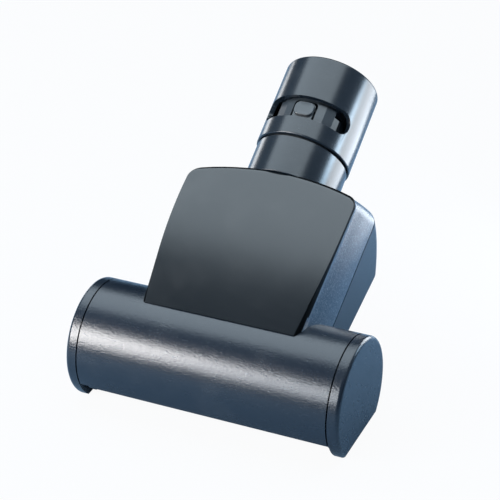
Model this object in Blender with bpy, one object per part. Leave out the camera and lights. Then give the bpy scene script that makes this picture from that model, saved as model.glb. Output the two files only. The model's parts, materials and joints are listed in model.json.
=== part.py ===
# Hand turbo brush of a vacuum cleaner: air drives a bladed wheel, and its belt turns the bristle roller.
# The origin is the middle of the rear sill on the sole plane, +X along the head and +Y back to the neck.
# The body frame starts on the roller axis: its Y runs up the neck, its Z out of the top panel.

import math

import bmesh
import bpy
from mathutils import Vector

# Clearances and walls, and how far a cutter or a joined form runs past the face that it meets
FIT_GAP = 0.0003
OVERRUN = 0.0010
LONG_OVERRUN = 0.0100
BIG = 0.4
SAME_POINT = 0.000002
WALL = 0.0022
INNER_WALL = 0.0018

# Head
HEAD_RADIUS = 0.0255
HEAD_LENGTH = 0.1235
HEAD_AXIS_HEIGHT = 0.0190
HEAD_FRONT_EDGE_HEIGHT = 0.0088
CAP_WIDTH = 0.0049
CAP_EDGE_RADIUS = 0.0018
CAP_LIP_LENGTH = 0.0030
CAP_LIP_WALL = 0.0016
CAP_NOTCH_LENGTH = 0.0040
CAP_NOTCH_HEIGHT = 0.0010

# Body, in the body frame
BODY_TILT = math.radians(30.8)
NECK_LEVEL = 0.0040
SHOULDER_LEVEL = 0.0195
PANEL_LEVEL = 0.0240
PANEL_CROWN = 0.0017
BODY_FRONT = 0.0097
PARTING_RAIL = {"front": 0.0405, "rear": 0.0423, "bow": 0.0,
                "corner": 0.0817, "bulge": 0.0055, "radius": 0.0080}
SHOULDER_RAIL = {"front": 0.0360, "rear": 0.0382, "bow": 0.0,
                 "corner": 0.0777, "bulge": 0.0060, "radius": 0.0060}
PANEL_CORNER_STEP = 0.0036
PANEL_RAIL = {"front": 0.0332, "rear": 0.0384, "bow": 0.0016,
              "corner": SHOULDER_RAIL["corner"] - PANEL_CORNER_STEP, "bulge": 0.0062, "radius": 0.0036}
LEAST_CORNER = 0.0010
SIDE_WALL_SWELL = 0.0005
LOWER_SIDE_TAPER = 0.06
LOWER_BODY_DEPTH = 0.0420
REAR_WALL_RADIUS = 0.042
BELLY_DEPTH_AT_AXIS = 0.0109
BELLY_ANGLE = math.radians(11.3)
BELLY_EDGE_RADIUS = 0.0050

# Neck tube and swivel sleeve, along the neck from the sleeve's lower edge
SLEEVE_START = 0.10105
SLEEVE_RADIUS = 0.0215
SLEEVE_LENGTH = 0.04115
SLEEVE_END_ROUND = 0.0015
SLEEVE_START_BEVEL = 0.0004
SLEEVE_BORE = 0.0193
SLEEVE_LIP_LENGTH = 0.0026
SLEEVE_END_LIP = 0.0026
NECK_RADIUS = 0.0208
NECK_BORE = 0.0155
NECK_WAIST_RADIUS = 0.0172
NECK_SHOULDER = 0.0820
NECK_RIB = 0.0770
NECK_RIB_WIDTH = 0.0020
NECK_FLANGE_RADIUS = 0.0196
NECK_FLANGE_WIDTH = 0.0022
NECK_FLANGE_TOP = 0.0212
SEAL_GROOVE = 0.0010
SEAL_REACH = 0.0020
SPIGOT_RADIUS = 0.0180
SPIGOT_LENGTH = 0.0066
CLIP_WIDTH = 0.0015
CLIP_DEPTH = 0.0009
CLIP_RADIUS = 0.0190
CLIP_OPENING = math.radians(40)

# Window, regulator and hose socket
WINDOW_LOW = 0.00885
WINDOW_HEIGHT = 0.01075
WINDOW_HALF_ANGLE = math.radians(63.5)
LINER_START = 0.0069
LINER_FLANGE = 0.0008
LINER_RADIUS = 0.0156
LINER_BORE = 0.0140
CHANNEL_END = 0.0209
SOCKET_FLOOR = 0.0013
HOSE_TUBE_RADIUS = 0.0175
HOSE_FIT = 0.0001
PORT_FROM = math.radians(24)
PORT_TO = math.radians(62)
PORT_LOW = 0.0098
PORT_HIGH = 0.0186
SLIDE_HALF_ANGLE = math.radians(42.5)
SLIDE_FACETS = 6
SLIDE_INNER_RADIUS = 0.0164
SLIDE_RIM_RADIUS = 0.0180
SLIDE_FACE_TOP = 0.0187
SLIDE_FACE_STEP = 0.0001
LATCH_HALF_WIDTH = 0.0046
LATCH_SLOT = 0.0009
LATCH_INNER = 0.0172
LATCH_THICKNESS = 0.0013
LATCH_TOP = 0.0180
LATCH_BOTTOM = 0.0083
LATCH_CORNER = 0.0018
LATCH_PIVOT = 0.0090
LATCH_PIVOT_DEPTH = 0.0176
LATCH_PIVOT_RADIUS = 0.0005
LATCH_PIVOT_LENGTH = 0.0012
PAD_HEIGHT = 0.0070
PAD_CORNER = 0.0026
PAD_RISE = 0.0011
PAD_INSET = 0.0002

# Roller
AXLE_RADIUS = 0.0030
CORE_RADIUS = 0.0095
CORE_RIM_RADIUS = 0.0120
CORE_RIM_WIDTH = 0.0015
BRISTLE_PROJECTION = 0.0008
BRISTLE_THICKNESS = 0.0022
BRISTLE_SEAT = 0.0075
BRISTLE_BACKING = 0.0030
TUFT_PITCH = 0.0052
TUFT_GAP = 0.0010
HELIX_PITCH = 0.1700
HELIX_STEP = 0.0060
ROLLER_BUSH_RADIUS = 0.0048
ROLLER_BUSH_WIDTH = 0.0042
BUSH_COLLAR_WIDTH = 0.0008
CAP_BOSS_RADIUS = 0.0066

# Belt drive
BELT_CENTRE = 0.0330
BELT_WIDTH = 0.0060
BELT_BACK = 0.0012
TOOTH_PITCH = 0.00236
TOOTH_HEIGHT = 0.0008
TOOTH_SHARE = 0.34
TOOTH_CLEARANCE = 0.00036
ROLLER_PULLEY_TEETH = 24
PINION_TEETH = 12
BELT_TEETH = 59
PULLEY_FLANGE_WIDTH = 0.0008
PULLEY_FLANGE_RISE = 0.0012
GUARD_CLEARANCE = 0.0015
GUARD_WALL = 0.0015

# Turbine
WHEEL_RADIUS = 0.0170
WHEEL_LENGTH = 0.0400
WHEEL_HUB_RADIUS = 0.0050
WHEEL_BLADES = 12
BLADE_THICKNESS = 0.0013
BLADE_SWEEP = math.radians(38)
WHEEL_DISC_RADIUS = 0.0140
WHEEL_DISC_WIDTH = 0.0014
SHAFT_RADIUS = 0.0020
SHAFT_STANDOUT = 0.0012
BEARING_RADIUS = 0.0045
BEARING_WIDTH = 0.0040
BEARING_RIB = 0.0270
BEARING_RIB_WIDTH = 0.0020
BEARING_RIB_LENGTH = 0.0150
BEARING_COLLAR = 0.0009

# Air path and screws
NOZZLE_HALF_WIDTH = 0.0167
NOZZLE_TOP = -0.0048
NOZZLE_BOTTOM = -0.0132
NOZZLE_START = 0.0220
NOZZLE_END = 0.0305
NOZZLE_WALL = 0.0012
BELT_SLOT_HALF_HEIGHT = 0.0115
BELT_SLOT_START = 0.0140
BELT_SLOT_END = 0.0285
FRONT_SCREW_SIDE = 0.0250
FRONT_SCREW_REACH = 0.0292
REAR_SCREW_SIDE = 0.0310
REAR_SCREW_REACH = 0.0670
SCREW_RADIUS = 0.0015
SCREW_HEAD_RADIUS = 0.0029
SCREW_HEAD_HEIGHT = 0.0020
SCREW_HEAD_BEVEL = 0.0007
SCREW_DRIVE_RADIUS = 0.0014
SCREW_DRIVE_DEPTH = 0.0009
SCREW_SEAT = -0.0060
SCREW_POINT = 0.0150
BOSS_WALL = 0.0013

# Worked out from the sizes above
CHAMBER_RADIUS = HEAD_RADIUS - WALL
COVER_HALF_LENGTH = HEAD_LENGTH / 2 - CAP_WIDTH
SILL_OUTER = math.sqrt(HEAD_RADIUS ** 2 - HEAD_AXIS_HEIGHT ** 2)
SILL_INNER = math.sqrt(CHAMBER_RADIUS ** 2 - HEAD_AXIS_HEIGHT ** 2)
HEAD_AXIS_Y = -(SILL_OUTER + SILL_INNER) / 2
BRISTLE_RADIUS = HEAD_AXIS_HEIGHT + BRISTLE_PROJECTION
ROLLER_HALF_LENGTH = COVER_HALF_LENGTH - CAP_LIP_LENGTH - 3 * FIT_GAP
PULLEY_RADIUS = ROLLER_PULLEY_TEETH * TOOTH_PITCH / math.tau
PINION_RADIUS = PINION_TEETH * TOOTH_PITCH / math.tau
PULLEY_HALF_WIDTH = BELT_WIDTH / 2 + FIT_GAP + PULLEY_FLANGE_WIDTH
SCREW_PLACES = {"front_left": (-FRONT_SCREW_SIDE, FRONT_SCREW_REACH),
                "front_right": (FRONT_SCREW_SIDE, FRONT_SCREW_REACH),
                "rear_left": (-REAR_SCREW_SIDE, REAR_SCREW_REACH),
                "rear_right": (REAR_SCREW_SIDE, REAR_SCREW_REACH)}


def belt_length(distance):
    """Pitch length of the belt round both pulleys whose centres are this far apart."""
    lean = math.asin((PULLEY_RADIUS - PINION_RADIUS) / distance)
    arcs = (math.pi + 2 * lean) * PULLEY_RADIUS + (math.pi - 2 * lean) * PINION_RADIUS
    return 2 * distance * math.cos(lean) + arcs


def centre_distance():
    """The distance at which the belt holds a whole number of teeth."""
    distance = BELT_TEETH * TOOTH_PITCH / 3
    for _ in range(40):
        distance += (BELT_TEETH * TOOTH_PITCH - belt_length(distance)) / 2
    return distance


TURBINE_DISTANCE = centre_distance()
BELT_LEAN = math.asin((PULLEY_RADIUS - PINION_RADIUS) / TURBINE_DISTANCE)
BELT_STRAIGHT = TURBINE_DISTANCE * math.cos(BELT_LEAN)


def clear_scene():
    for item in list(bpy.data.objects):
        bpy.data.objects.remove(item, do_unlink=True)


def plastic(name, colour, roughness, metallic=0.0):
    material = bpy.data.materials.new(name)
    material.use_nodes = True
    shader = material.node_tree.nodes["Principled BSDF"]
    shader.inputs["Base Color"].default_value = (*colour, 1)
    shader.inputs["Roughness"].default_value = roughness
    shader.inputs["Metallic"].default_value = metallic
    return material


def frame(name, location, rotation, parent=None):
    empty = bpy.data.objects.new(name, None)
    empty.location = location
    empty.rotation_euler = rotation
    empty.parent = parent
    empty.empty_display_size = 0.01
    bpy.context.scene.collection.objects.link(empty)
    return empty


def solid(name, mesh_data, parent, material=None, smooth=35):
    """Turns a bmesh into an object under its frame, faces out and shaded smooth where it is round."""
    bmesh.ops.recalc_face_normals(mesh_data, faces=mesh_data.faces)
    mesh = bpy.data.meshes.new(name)
    mesh_data.to_mesh(mesh)
    mesh_data.free()
    if smooth:
        mesh.shade_smooth()
        mesh.set_sharp_from_angle(angle=math.radians(smooth))
    item = bpy.data.objects.new(name, mesh)
    item.parent = parent
    bpy.context.scene.collection.objects.link(item)
    if material:
        mesh.materials.append(material)
    else:
        item.hide_render = True
        item.display_type = "WIRE"
    return item


def boolean(target, operation, tool):
    step = target.modifiers.new(f"{operation.lower()} {tool.name}", "BOOLEAN")
    step.operation = operation
    step.solver = "EXACT"
    step.object = tool


def cut(target, *tools):
    for tool in tools:
        boolean(target, "DIFFERENCE", tool)


def join(target, *tools):
    for tool in tools:
        boolean(target, "UNION", tool)


def keep(target, *tools):
    for tool in tools:
        boolean(target, "INTERSECT", tool)


def box(name, low, high, parent, material=None):
    mesh_data = bmesh.new()
    bmesh.ops.create_cube(mesh_data, size=1)
    low = Vector(low)
    high = Vector(high)
    for vertex in mesh_data.verts:
        vertex.co = [low[i] + (high[i] - low[i]) * (vertex.co[i] + 0.5) for i in range(3)]
    return solid(name, mesh_data, parent, material, smooth=0)


def prism(name, outline, start, end, parent, material=None, axis="X", smooth=35):
    """Extrudes a closed outline along the frame's X or Z."""
    mesh_data = bmesh.new()
    place = {"X": lambda p: (start, p[0], p[1]), "Z": lambda p: (p[0], p[1], start)}[axis]
    face = mesh_data.faces.new([mesh_data.verts.new(place(point)) for point in outline])
    moved = bmesh.ops.extrude_face_region(mesh_data, geom=[face])
    step = Vector((end - start, 0, 0)) if axis == "X" else Vector((0, 0, end - start))
    far = [v for v in moved["geom"] if isinstance(v, bmesh.types.BMVert)]
    bmesh.ops.translate(mesh_data, verts=far, vec=step)
    return solid(name, mesh_data, parent, material, smooth)


def turned(name, profile, steps, parent, material=None, about="Z"):
    """Spins a closed profile of (radius, height) points all the way round the frame's Z or X."""
    mesh_data = bmesh.new()
    spot = (lambda r, h: (r, 0, h)) if about == "Z" else (lambda r, h: (h, r, 0))
    ring = [mesh_data.verts.new(spot(radius, height)) for radius, height in profile]
    edges = [mesh_data.edges.new((ring[i - 1], ring[i])) for i in range(len(ring))]
    axis = (0, 0, 1) if about == "Z" else (1, 0, 0)
    bmesh.ops.spin(mesh_data, geom=ring + edges, cent=(0, 0, 0), axis=axis, angle=math.tau, steps=steps,
                   use_merge=True)
    bmesh.ops.remove_doubles(mesh_data, verts=mesh_data.verts, dist=SAME_POINT)
    return solid(name, mesh_data, parent, material)


def rod(name, radius, start, end, steps, parent, material=None, about="Z", centre=(0, 0)):
    """A closed cylinder along the frame's Z or X."""
    outline = [(centre[0] + radius * math.cos(math.tau * i / steps),
                centre[1] + radius * math.sin(math.tau * i / steps)) for i in range(steps)]
    return prism(name, outline, start, end, parent, material, axis=about)


def arc(centre, radius, start, end, steps):
    return [(centre[0] + radius * math.cos(start + (end - start) * i / steps),
             centre[1] + radius * math.sin(start + (end - start) * i / steps)) for i in range(steps + 1)]


def rounded_corner(before, corner, after, radius, steps):
    """Points of the arc that rounds one corner of an outline."""
    before, corner, after = Vector(before), Vector(corner), Vector(after)
    to_before = (before - corner).normalized()
    to_after = (after - corner).normalized()
    half = to_before.angle(to_after) / 2
    centre = corner + (to_before + to_after).normalized() * radius / math.sin(half)
    first = corner + to_before * radius / math.tan(half) - centre
    last = corner + to_after * radius / math.tan(half) - centre
    sweep = first.angle_signed(last)
    points = []
    for i in range(steps + 1):
        turn = -sweep * i / steps
        points.append(centre + Vector((first.x * math.cos(turn) - first.y * math.sin(turn),
                                       first.x * math.sin(turn) + first.y * math.cos(turn))))
    return points


def mix_rails(first, second, share):
    return {key: first[key] + (second[key] - first[key]) * share for key in first}


def rail_loop(rail, level, inset=0.0, crown=0.0):
    """One closed plan outline of the body, given in pairs that mirror each other across the middle."""
    front = rail["front"] - inset
    rear = rail["rear"] - inset
    corner = rail["corner"] - inset
    reach = corner - BODY_FRONT
    side = []
    for share in (0, 0.25, 0.5, 0.75):
        bow = rail["bow"] * 4 * share * (1 - share)
        side.append((front + (rear - front) * share + bow, BODY_FRONT + reach * share))
    back = [(rear * share, corner + rail["bulge"] * (1 - share ** 2)) for share in (0.72, 0.48, 0.24, 0)]
    turn = rounded_corner(side[-1], (rear, corner), back[0], max(rail["radius"] - inset, LEAST_CORNER), 5)
    half = side + [tuple(point) for point in turn] + back
    length = rail["corner"] + rail["bulge"] - BODY_FRONT
    points = []
    for x, distance in half:
        share = min(max((distance - BODY_FRONT) / length, 0), 1)
        points.append(Vector((x, distance, level + crown * 4 * share * (1 - share))))
    mirrored = [Vector((-point.x, point.y, point.z)) for point in reversed(points[:-1])]
    return points + mirrored


def loft(name, loops, parent, material=None):
    """Skins mirrored loops from the bottom up and closes both ends with strips across the middle."""
    mesh_data = bmesh.new()
    rings = [[mesh_data.verts.new(point) for point in loop] for loop in loops]
    count = len(loops[0])
    for low, high in zip(rings, rings[1:]):
        for i in range(count):
            mesh_data.faces.new((low[i - 1], low[i], high[i], high[i - 1]))
    for ring in (rings[0], rings[-1]):
        for i in range((count - 1) // 2):
            strip = [ring[i], ring[i + 1], ring[count - 2 - i], ring[count - 1 - i]]
            mesh_data.faces.new(list(dict.fromkeys(strip)))
    return solid(name, mesh_data, parent, material)


def upper_body(name, inset, parent, material=None):
    """The body above the parting plane, or its hollow when it is inset by the wall."""
    loops = [rail_loop(PARTING_RAIL, NECK_LEVEL - OVERRUN, inset)]
    middle = mix_rails(PARTING_RAIL, SHOULDER_RAIL, 0.5)
    middle["front"] += SIDE_WALL_SWELL
    middle["rear"] += SIDE_WALL_SWELL
    loops.append(rail_loop(middle, (NECK_LEVEL + SHOULDER_LEVEL) / 2, inset))
    for share in (0, 0.45, 0.75, 0.93, 1):
        level = SHOULDER_LEVEL + (PANEL_LEVEL - SHOULDER_LEVEL) * share - inset
        rail = mix_rails(SHOULDER_RAIL, PANEL_RAIL, 1 - math.sqrt(1 - share ** 2))
        loops.append(rail_loop(rail, level, inset, PANEL_CROWN * share))
    return loft(name, loops, parent, material)


def lower_body(name, inset, parent, material=None):
    """The body below the parting plane, cut off by the sloping belly and rounded there."""
    loops = [rail_loop(PARTING_RAIL, NECK_LEVEL + OVERRUN, inset)]
    for share in (0.19, 0.36, 0.5, 0.64, 0.81, 1):
        depth = LOWER_BODY_DEPTH * share
        rail = dict(PARTING_RAIL)
        rail["front"] -= LOWER_SIDE_TAPER * depth
        rail["rear"] -= LOWER_SIDE_TAPER * depth
        rail["corner"] -= depth ** 2 / (2 * REAR_WALL_RADIUS)
        loops.append(rail_loop(rail, NECK_LEVEL - depth, inset))
    item = loft(name, loops[::-1], parent, material)
    mesh_data = bmesh.new()
    mesh_data.from_mesh(item.data)
    down = Vector((0, -math.sin(BELLY_ANGLE), -math.cos(BELLY_ANGLE)))
    on_belly = Vector((0, 0, -BELLY_DEPTH_AT_AXIS)) - down * inset
    bmesh.ops.bisect_plane(mesh_data, geom=mesh_data.verts[:] + mesh_data.edges[:] + mesh_data.faces[:],
                           plane_co=on_belly, plane_no=down, clear_outer=True)
    rim = [edge for edge in mesh_data.edges if edge.is_boundary]
    bmesh.ops.contextual_create(mesh_data, geom=rim)
    bmesh.ops.recalc_face_normals(mesh_data, faces=mesh_data.faces)
    bmesh.ops.bevel(mesh_data, geom=rim, offset=BELLY_EDGE_RADIUS - inset / 2, segments=3, profile=0.5,
                    affect="EDGES", clamp_overlap=True)
    bmesh.ops.triangulate(mesh_data, faces=[face for face in mesh_data.faces if len(face.verts) > 4])
    mesh_data.to_mesh(item.data)
    mesh_data.free()
    item.data.shade_smooth()
    item.data.set_sharp_from_angle(angle=math.radians(35))
    return item


def neck_cutters(neck):
    """The hole for the neck tube's waist through its rib, and the hole that lets its outside through."""
    shoulder = NECK_SHOULDER - SLEEVE_START
    waist = rod("waist_hole", NECK_WAIST_RADIUS + FIT_GAP, shoulder - LONG_OVERRUN, shoulder, 24, neck)
    outlet = rod("neck_outlet", NECK_RADIUS + FIT_GAP, shoulder - FIT_GAP, OVERRUN, 40, neck)
    return waist, outlet


def cavity_details(cavity, prefix, body, low, high, boss_radius):
    """What stands inside a shell: partition, neck rib and screw bosses are left out of its hollow."""
    partition = rod(f"{prefix}_partition", HEAD_RADIUS, -COVER_HALF_LENGTH, COVER_HALF_LENGTH, 36, body,
                    about="X")
    rib = box(f"{prefix}_neck_rib", (-BIG, NECK_RIB, -BIG), (BIG, NECK_RIB + NECK_RIB_WIDTH, BIG), body)
    cut(cavity, partition, rib)
    for place, (x, distance) in SCREW_PLACES.items():
        cut(cavity, rod(f"{prefix}_boss_{place}", boss_radius, low, high, 12, body, centre=(x, distance)))


def bearing_ribs(cavity, prefix, low, body):
    """The two ribs that hold the turbine bearings are left out of a shell's hollow."""
    start = TURBINE_DISTANCE - BEARING_RIB_LENGTH / 2
    end = TURBINE_DISTANCE + BEARING_RIB_LENGTH / 2
    for side in (-1, 1):
        left = side * BEARING_RIB - BEARING_RIB_WIDTH / 2
        cut(cavity, box(f"{prefix}_bearing_rib_{side}", (left, start, low),
                        (left + BEARING_RIB_WIDTH, end, BIG), body))


def upper_shell(body, head, neck, black):
    """Cover of the head and top of the body, one moulding open below the parting plane."""
    half = COVER_HALF_LENGTH - FIT_GAP
    shell = rod("upper_shell", HEAD_RADIUS, -half, half, 52, body, black, about="X")
    join(shell, upper_body("body_top", 0, body))
    hollow = upper_body("body_top_hollow", WALL, body)
    cavity_details(hollow, "top", body, -LONG_OVERRUN, BIG, SCREW_RADIUS + FIT_GAP + BOSS_WALL)
    bearing_ribs(hollow, "top", BEARING_RADIUS + FIT_GAP, body)
    chamber = rod("top_chamber", CHAMBER_RADIUS, -BIG, BIG, 44, body, about="X")
    level = NECK_LEVEL + FIT_GAP / 2
    slope = math.tan(BODY_TILT)
    rise = level / math.cos(BODY_TILT)
    step = -0.75 * HEAD_RADIUS
    edge = HEAD_FRONT_EDGE_HEIGHT - HEAD_AXIS_HEIGHT
    outline = [(-BIG, edge), (step, edge), (step, rise + slope * step), (BIG, rise + slope * BIG),
               (BIG, -BIG), (-BIG, -BIG)]
    below = prism("below_parting", outline, -BIG, BIG, head)
    belt_slot = box("top_belt_slot", (BELT_CENTRE - PULLEY_HALF_WIDTH, BELT_SLOT_START, 0),
                    (BELT_CENTRE + PULLEY_HALF_WIDTH, BELT_SLOT_END, BELT_SLOT_HALF_HEIGHT), body)
    notch_end = -COVER_HALF_LENGTH + CAP_NOTCH_LENGTH
    notch = box("cover_notch", (-BIG, -BIG, -BIG), (notch_end, step, edge + CAP_NOTCH_HEIGHT), head)
    cut(shell, hollow, chamber, below, notch, belt_slot, *neck_cutters(neck))
    for place, (x, distance) in SCREW_PLACES.items():
        cut(shell, rod(f"top_screw_hole_{place}", SCREW_RADIUS + FIT_GAP, 0, SCREW_POINT + FIT_GAP, 8, body,
                       centre=(x, distance)))
    return shell


def lower_shell(body, head, neck, black):
    """Belly, rear wall and rear sill, one moulding that carries the turbine bearings."""
    half = COVER_HALF_LENGTH - FIT_GAP
    shell = rod("lower_shell", HEAD_RADIUS, -half, half, 52, body, black, about="X")
    join(shell, lower_body("body_bottom", 0, body))
    hollow = lower_body("body_bottom_hollow", WALL, body)
    cavity_details(hollow, "bottom", body, -BIG, LONG_OVERRUN, SCREW_HEAD_RADIUS + FIT_GAP + BOSS_WALL)
    bearing_ribs(hollow, "bottom", -BIG, body)
    chamber = rod("bottom_chamber", CHAMBER_RADIUS, -BIG, BIG, 44, body, about="X")
    above = box("above_parting", (-BIG, -BIG, NECK_LEVEL - FIT_GAP / 2), (BIG, BIG, BIG), body)
    below = box("below_sole", (-BIG, -BIG, -BIG), (BIG, BIG, -HEAD_AXIS_HEIGHT), head)
    mouth = box("mouth_opening", (-BIG, -BIG, -BIG), (BIG, SILL_INNER / 2, HEAD_RADIUS + OVERRUN), head)
    belt_slot = box("bottom_belt_slot",
                    (BELT_CENTRE - PULLEY_HALF_WIDTH, BELT_SLOT_START, -BELT_SLOT_HALF_HEIGHT),
                    (BELT_CENTRE + PULLEY_HALF_WIDTH, BELT_SLOT_END, LONG_OVERRUN), body)
    port = box("nozzle_port", (-NOZZLE_HALF_WIDTH - FIT_GAP, BELT_SLOT_START, NOZZLE_BOTTOM - FIT_GAP),
               (NOZZLE_HALF_WIDTH + FIT_GAP, BELT_SLOT_END, NOZZLE_TOP + FIT_GAP), body)
    seat_end = BEARING_RIB + BEARING_WIDTH
    saddle = box("bearing_saddle", (-seat_end, TURBINE_DISTANCE - BEARING_RADIUS - FIT_GAP, 0),
                 (seat_end, TURBINE_DISTANCE + BEARING_RADIUS + FIT_GAP, BIG), body)
    seat = rod("bearing_seat", BEARING_RADIUS + FIT_GAP, -seat_end, seat_end, 32, body, about="X",
               centre=(TURBINE_DISTANCE, 0))
    cut(shell, hollow, chamber, belt_slot, port, saddle, seat, *neck_cutters(neck), above, below, mouth)
    for place, (x, distance) in SCREW_PLACES.items():
        cut(shell, rod(f"bottom_screw_hole_{place}", SCREW_RADIUS + FIT_GAP, SCREW_SEAT - OVERRUN,
                       SCREW_POINT, 8, body, centre=(x, distance)))
        cut(shell, rod(f"screw_recess_{place}", SCREW_HEAD_RADIUS + FIT_GAP, -BIG, SCREW_SEAT, 14, body,
                       centre=(x, distance)))
    return shell


def cap_outline(radius, floor, steps):
    """A circle about the roller axis that is cut flat by the sole."""
    dip = math.asin(min(floor / radius, 1))
    return arc((0, 0), radius, -dip, math.pi + dip, steps)


def end_cap(name, side, head, black):
    """Dish that closes the head, with a lip inside the cover and a boss for the roller bearing."""
    outer = HEAD_LENGTH / 2
    joint = COVER_HALF_LENGTH
    mesh_data = bmesh.new()
    outline = cap_outline(HEAD_RADIUS, HEAD_AXIS_HEIGHT, 34)
    face = mesh_data.faces.new([mesh_data.verts.new((side * joint, y, z)) for y, z in outline])
    moved = bmesh.ops.extrude_face_region(mesh_data, geom=[face])
    far = [v for v in moved["geom"] if isinstance(v, bmesh.types.BMVert)]
    bmesh.ops.translate(mesh_data, verts=far, vec=(side * (outer - joint), 0, 0))
    rim = [edge for edge in mesh_data.edges if all(vertex in far for vertex in edge.verts)]
    bmesh.ops.bevel(mesh_data, geom=rim, offset=CAP_EDGE_RADIUS, segments=3, profile=0.5, affect="EDGES",
                    clamp_overlap=True)
    cap = solid(name, mesh_data, head, black)
    lip_end = joint - CAP_LIP_LENGTH
    lip_radius = CHAMBER_RADIUS - FIT_GAP
    lip = rod(f"{name}_lip", lip_radius, side * lip_end, side * (joint + OVERRUN), 28, head, about="X")
    cut(lip, box(f"{name}_lip_floor", (-BIG, -BIG, -BIG), (BIG, BIG, INNER_WALL - HEAD_AXIS_HEIGHT), head))
    join(cap, lip)
    floor = outer - WALL
    cut(cap, prism(f"{name}_pocket", cap_outline(lip_radius - CAP_LIP_WALL, HEAD_AXIS_HEIGHT - WALL, 22),
                   side * (lip_end - LONG_OVERRUN), side * floor, head))
    boss_start = floor - ROLLER_BUSH_WIDTH + FIT_GAP
    join(cap, rod(f"{name}_boss", CAP_BOSS_RADIUS, side * boss_start, side * (floor + OVERRUN), 16, head,
                  about="X"))
    cut(cap, rod(f"{name}_seat", ROLLER_BUSH_RADIUS + FIT_GAP, side * (boss_start - OVERRUN),
                 side * (floor - FIT_GAP / 2), 16, head, about="X"))
    return cap


def roller(head, black, steel, bronze, nylon, fibre):
    """Axle, two cores, the pulley between them, four bristle strips and the two bushes in the caps."""
    cap_floor = HEAD_LENGTH / 2 - WALL
    turned_axle_end = cap_floor - 2 * FIT_GAP
    rod("roller_axle", AXLE_RADIUS, -turned_axle_end, turned_axle_end, 16, head, steel, about="X")
    bore = AXLE_RADIUS + FIT_GAP
    for name, side in (("left_roller_bearing", -1), ("right_roller_bearing", 1)):
        outer = side * (cap_floor - FIT_GAP)
        inner = outer - side * ROLLER_BUSH_WIDTH
        collar = inner - side * BUSH_COLLAR_WIDTH
        bush = [(bore, outer), (ROLLER_BUSH_RADIUS, outer), (ROLLER_BUSH_RADIUS, inner),
                (CAP_BOSS_RADIUS, inner), (CAP_BOSS_RADIUS, collar), (bore, collar)]
        turned(name, bush, 14, head, bronze, about="X")
    left_end = BELT_CENTRE - PULLEY_HALF_WIDTH - FIT_GAP
    right_start = BELT_CENTRE + PULLEY_HALF_WIDTH + FIT_GAP
    for name, start, end in (("left_roller_core", -ROLLER_HALF_LENGTH, left_end),
                             ("right_roller_core", right_start, ROLLER_HALF_LENGTH)):
        profile = [(bore, start), (CORE_RIM_RADIUS, start), (CORE_RIM_RADIUS, start + CORE_RIM_WIDTH),
                   (CORE_RADIUS, start + CORE_RIM_WIDTH), (CORE_RADIUS, end - CORE_RIM_WIDTH),
                   (CORE_RIM_RADIUS, end - CORE_RIM_WIDTH), (CORE_RIM_RADIUS, end), (bore, end)]
        core = turned(name, profile, 22, head, black, about="X")
        for number in (1, 2):
            strip_start = start + CORE_RIM_WIDTH + FIT_GAP
            strip_end = end - CORE_RIM_WIDTH - FIT_GAP
            turn = math.pi * (number - 1)
            groove = helix_bar(f"{name}_groove_{number}", start + CORE_RIM_WIDTH, end - CORE_RIM_WIDTH, turn,
                               BRISTLE_SEAT - FIT_GAP, CORE_RADIUS + OVERRUN, BRISTLE_THICKNESS / 2 + FIT_GAP,
                               head)
            cut(core, groove)
            side = name.split("_")[0]
            bristle_strip(f"{side}_bristle_strip_{number}", strip_start, strip_end, turn, head, fibre)
    phase = BODY_TILT + math.pi / 2 - BELT_LEAN
    toothed_wheel("roller_pulley", ROLLER_PULLEY_TEETH, bore, PULLEY_RADIUS, head, nylon, (0, 0), phase, True)


def helix_points(start, end, turn, radius, offset, steps):
    """Points of a helix round the roller axis, shifted sideways by an offset."""
    points = []
    for i in range(steps + 1):
        x = start + (end - start) * i / steps
        angle = turn + math.tau * (x - BELT_CENTRE) / HELIX_PITCH
        radial = Vector((0, math.cos(angle), math.sin(angle)))
        across = Vector((0, -math.sin(angle), math.cos(angle)))
        points.append(Vector((x, 0, 0)) + radial * radius + across * offset)
    return points


def helix_bar(name, start, end, turn, inner, outer, half_width, parent, material=None):
    """A straight-sided bar that winds round the roller axis."""
    steps = max(3, round((end - start) / HELIX_STEP))
    corners = ((inner, -half_width), (outer, -half_width), (outer, half_width), (inner, half_width))
    rails = [helix_points(start, end, turn, radius, offset, steps) for radius, offset in corners]
    mesh_data = bmesh.new()
    rings = [[mesh_data.verts.new(rail[i]) for rail in rails] for i in range(steps + 1)]
    for first, second in zip(rings, rings[1:]):
        for i in range(4):
            mesh_data.faces.new((first[i - 1], first[i], second[i], second[i - 1]))
    mesh_data.faces.new(rings[0])
    mesh_data.faces.new(rings[-1])
    bmesh.ops.triangulate(mesh_data, faces=mesh_data.faces[:])
    return solid(name, mesh_data, parent, material, smooth=0)


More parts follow.
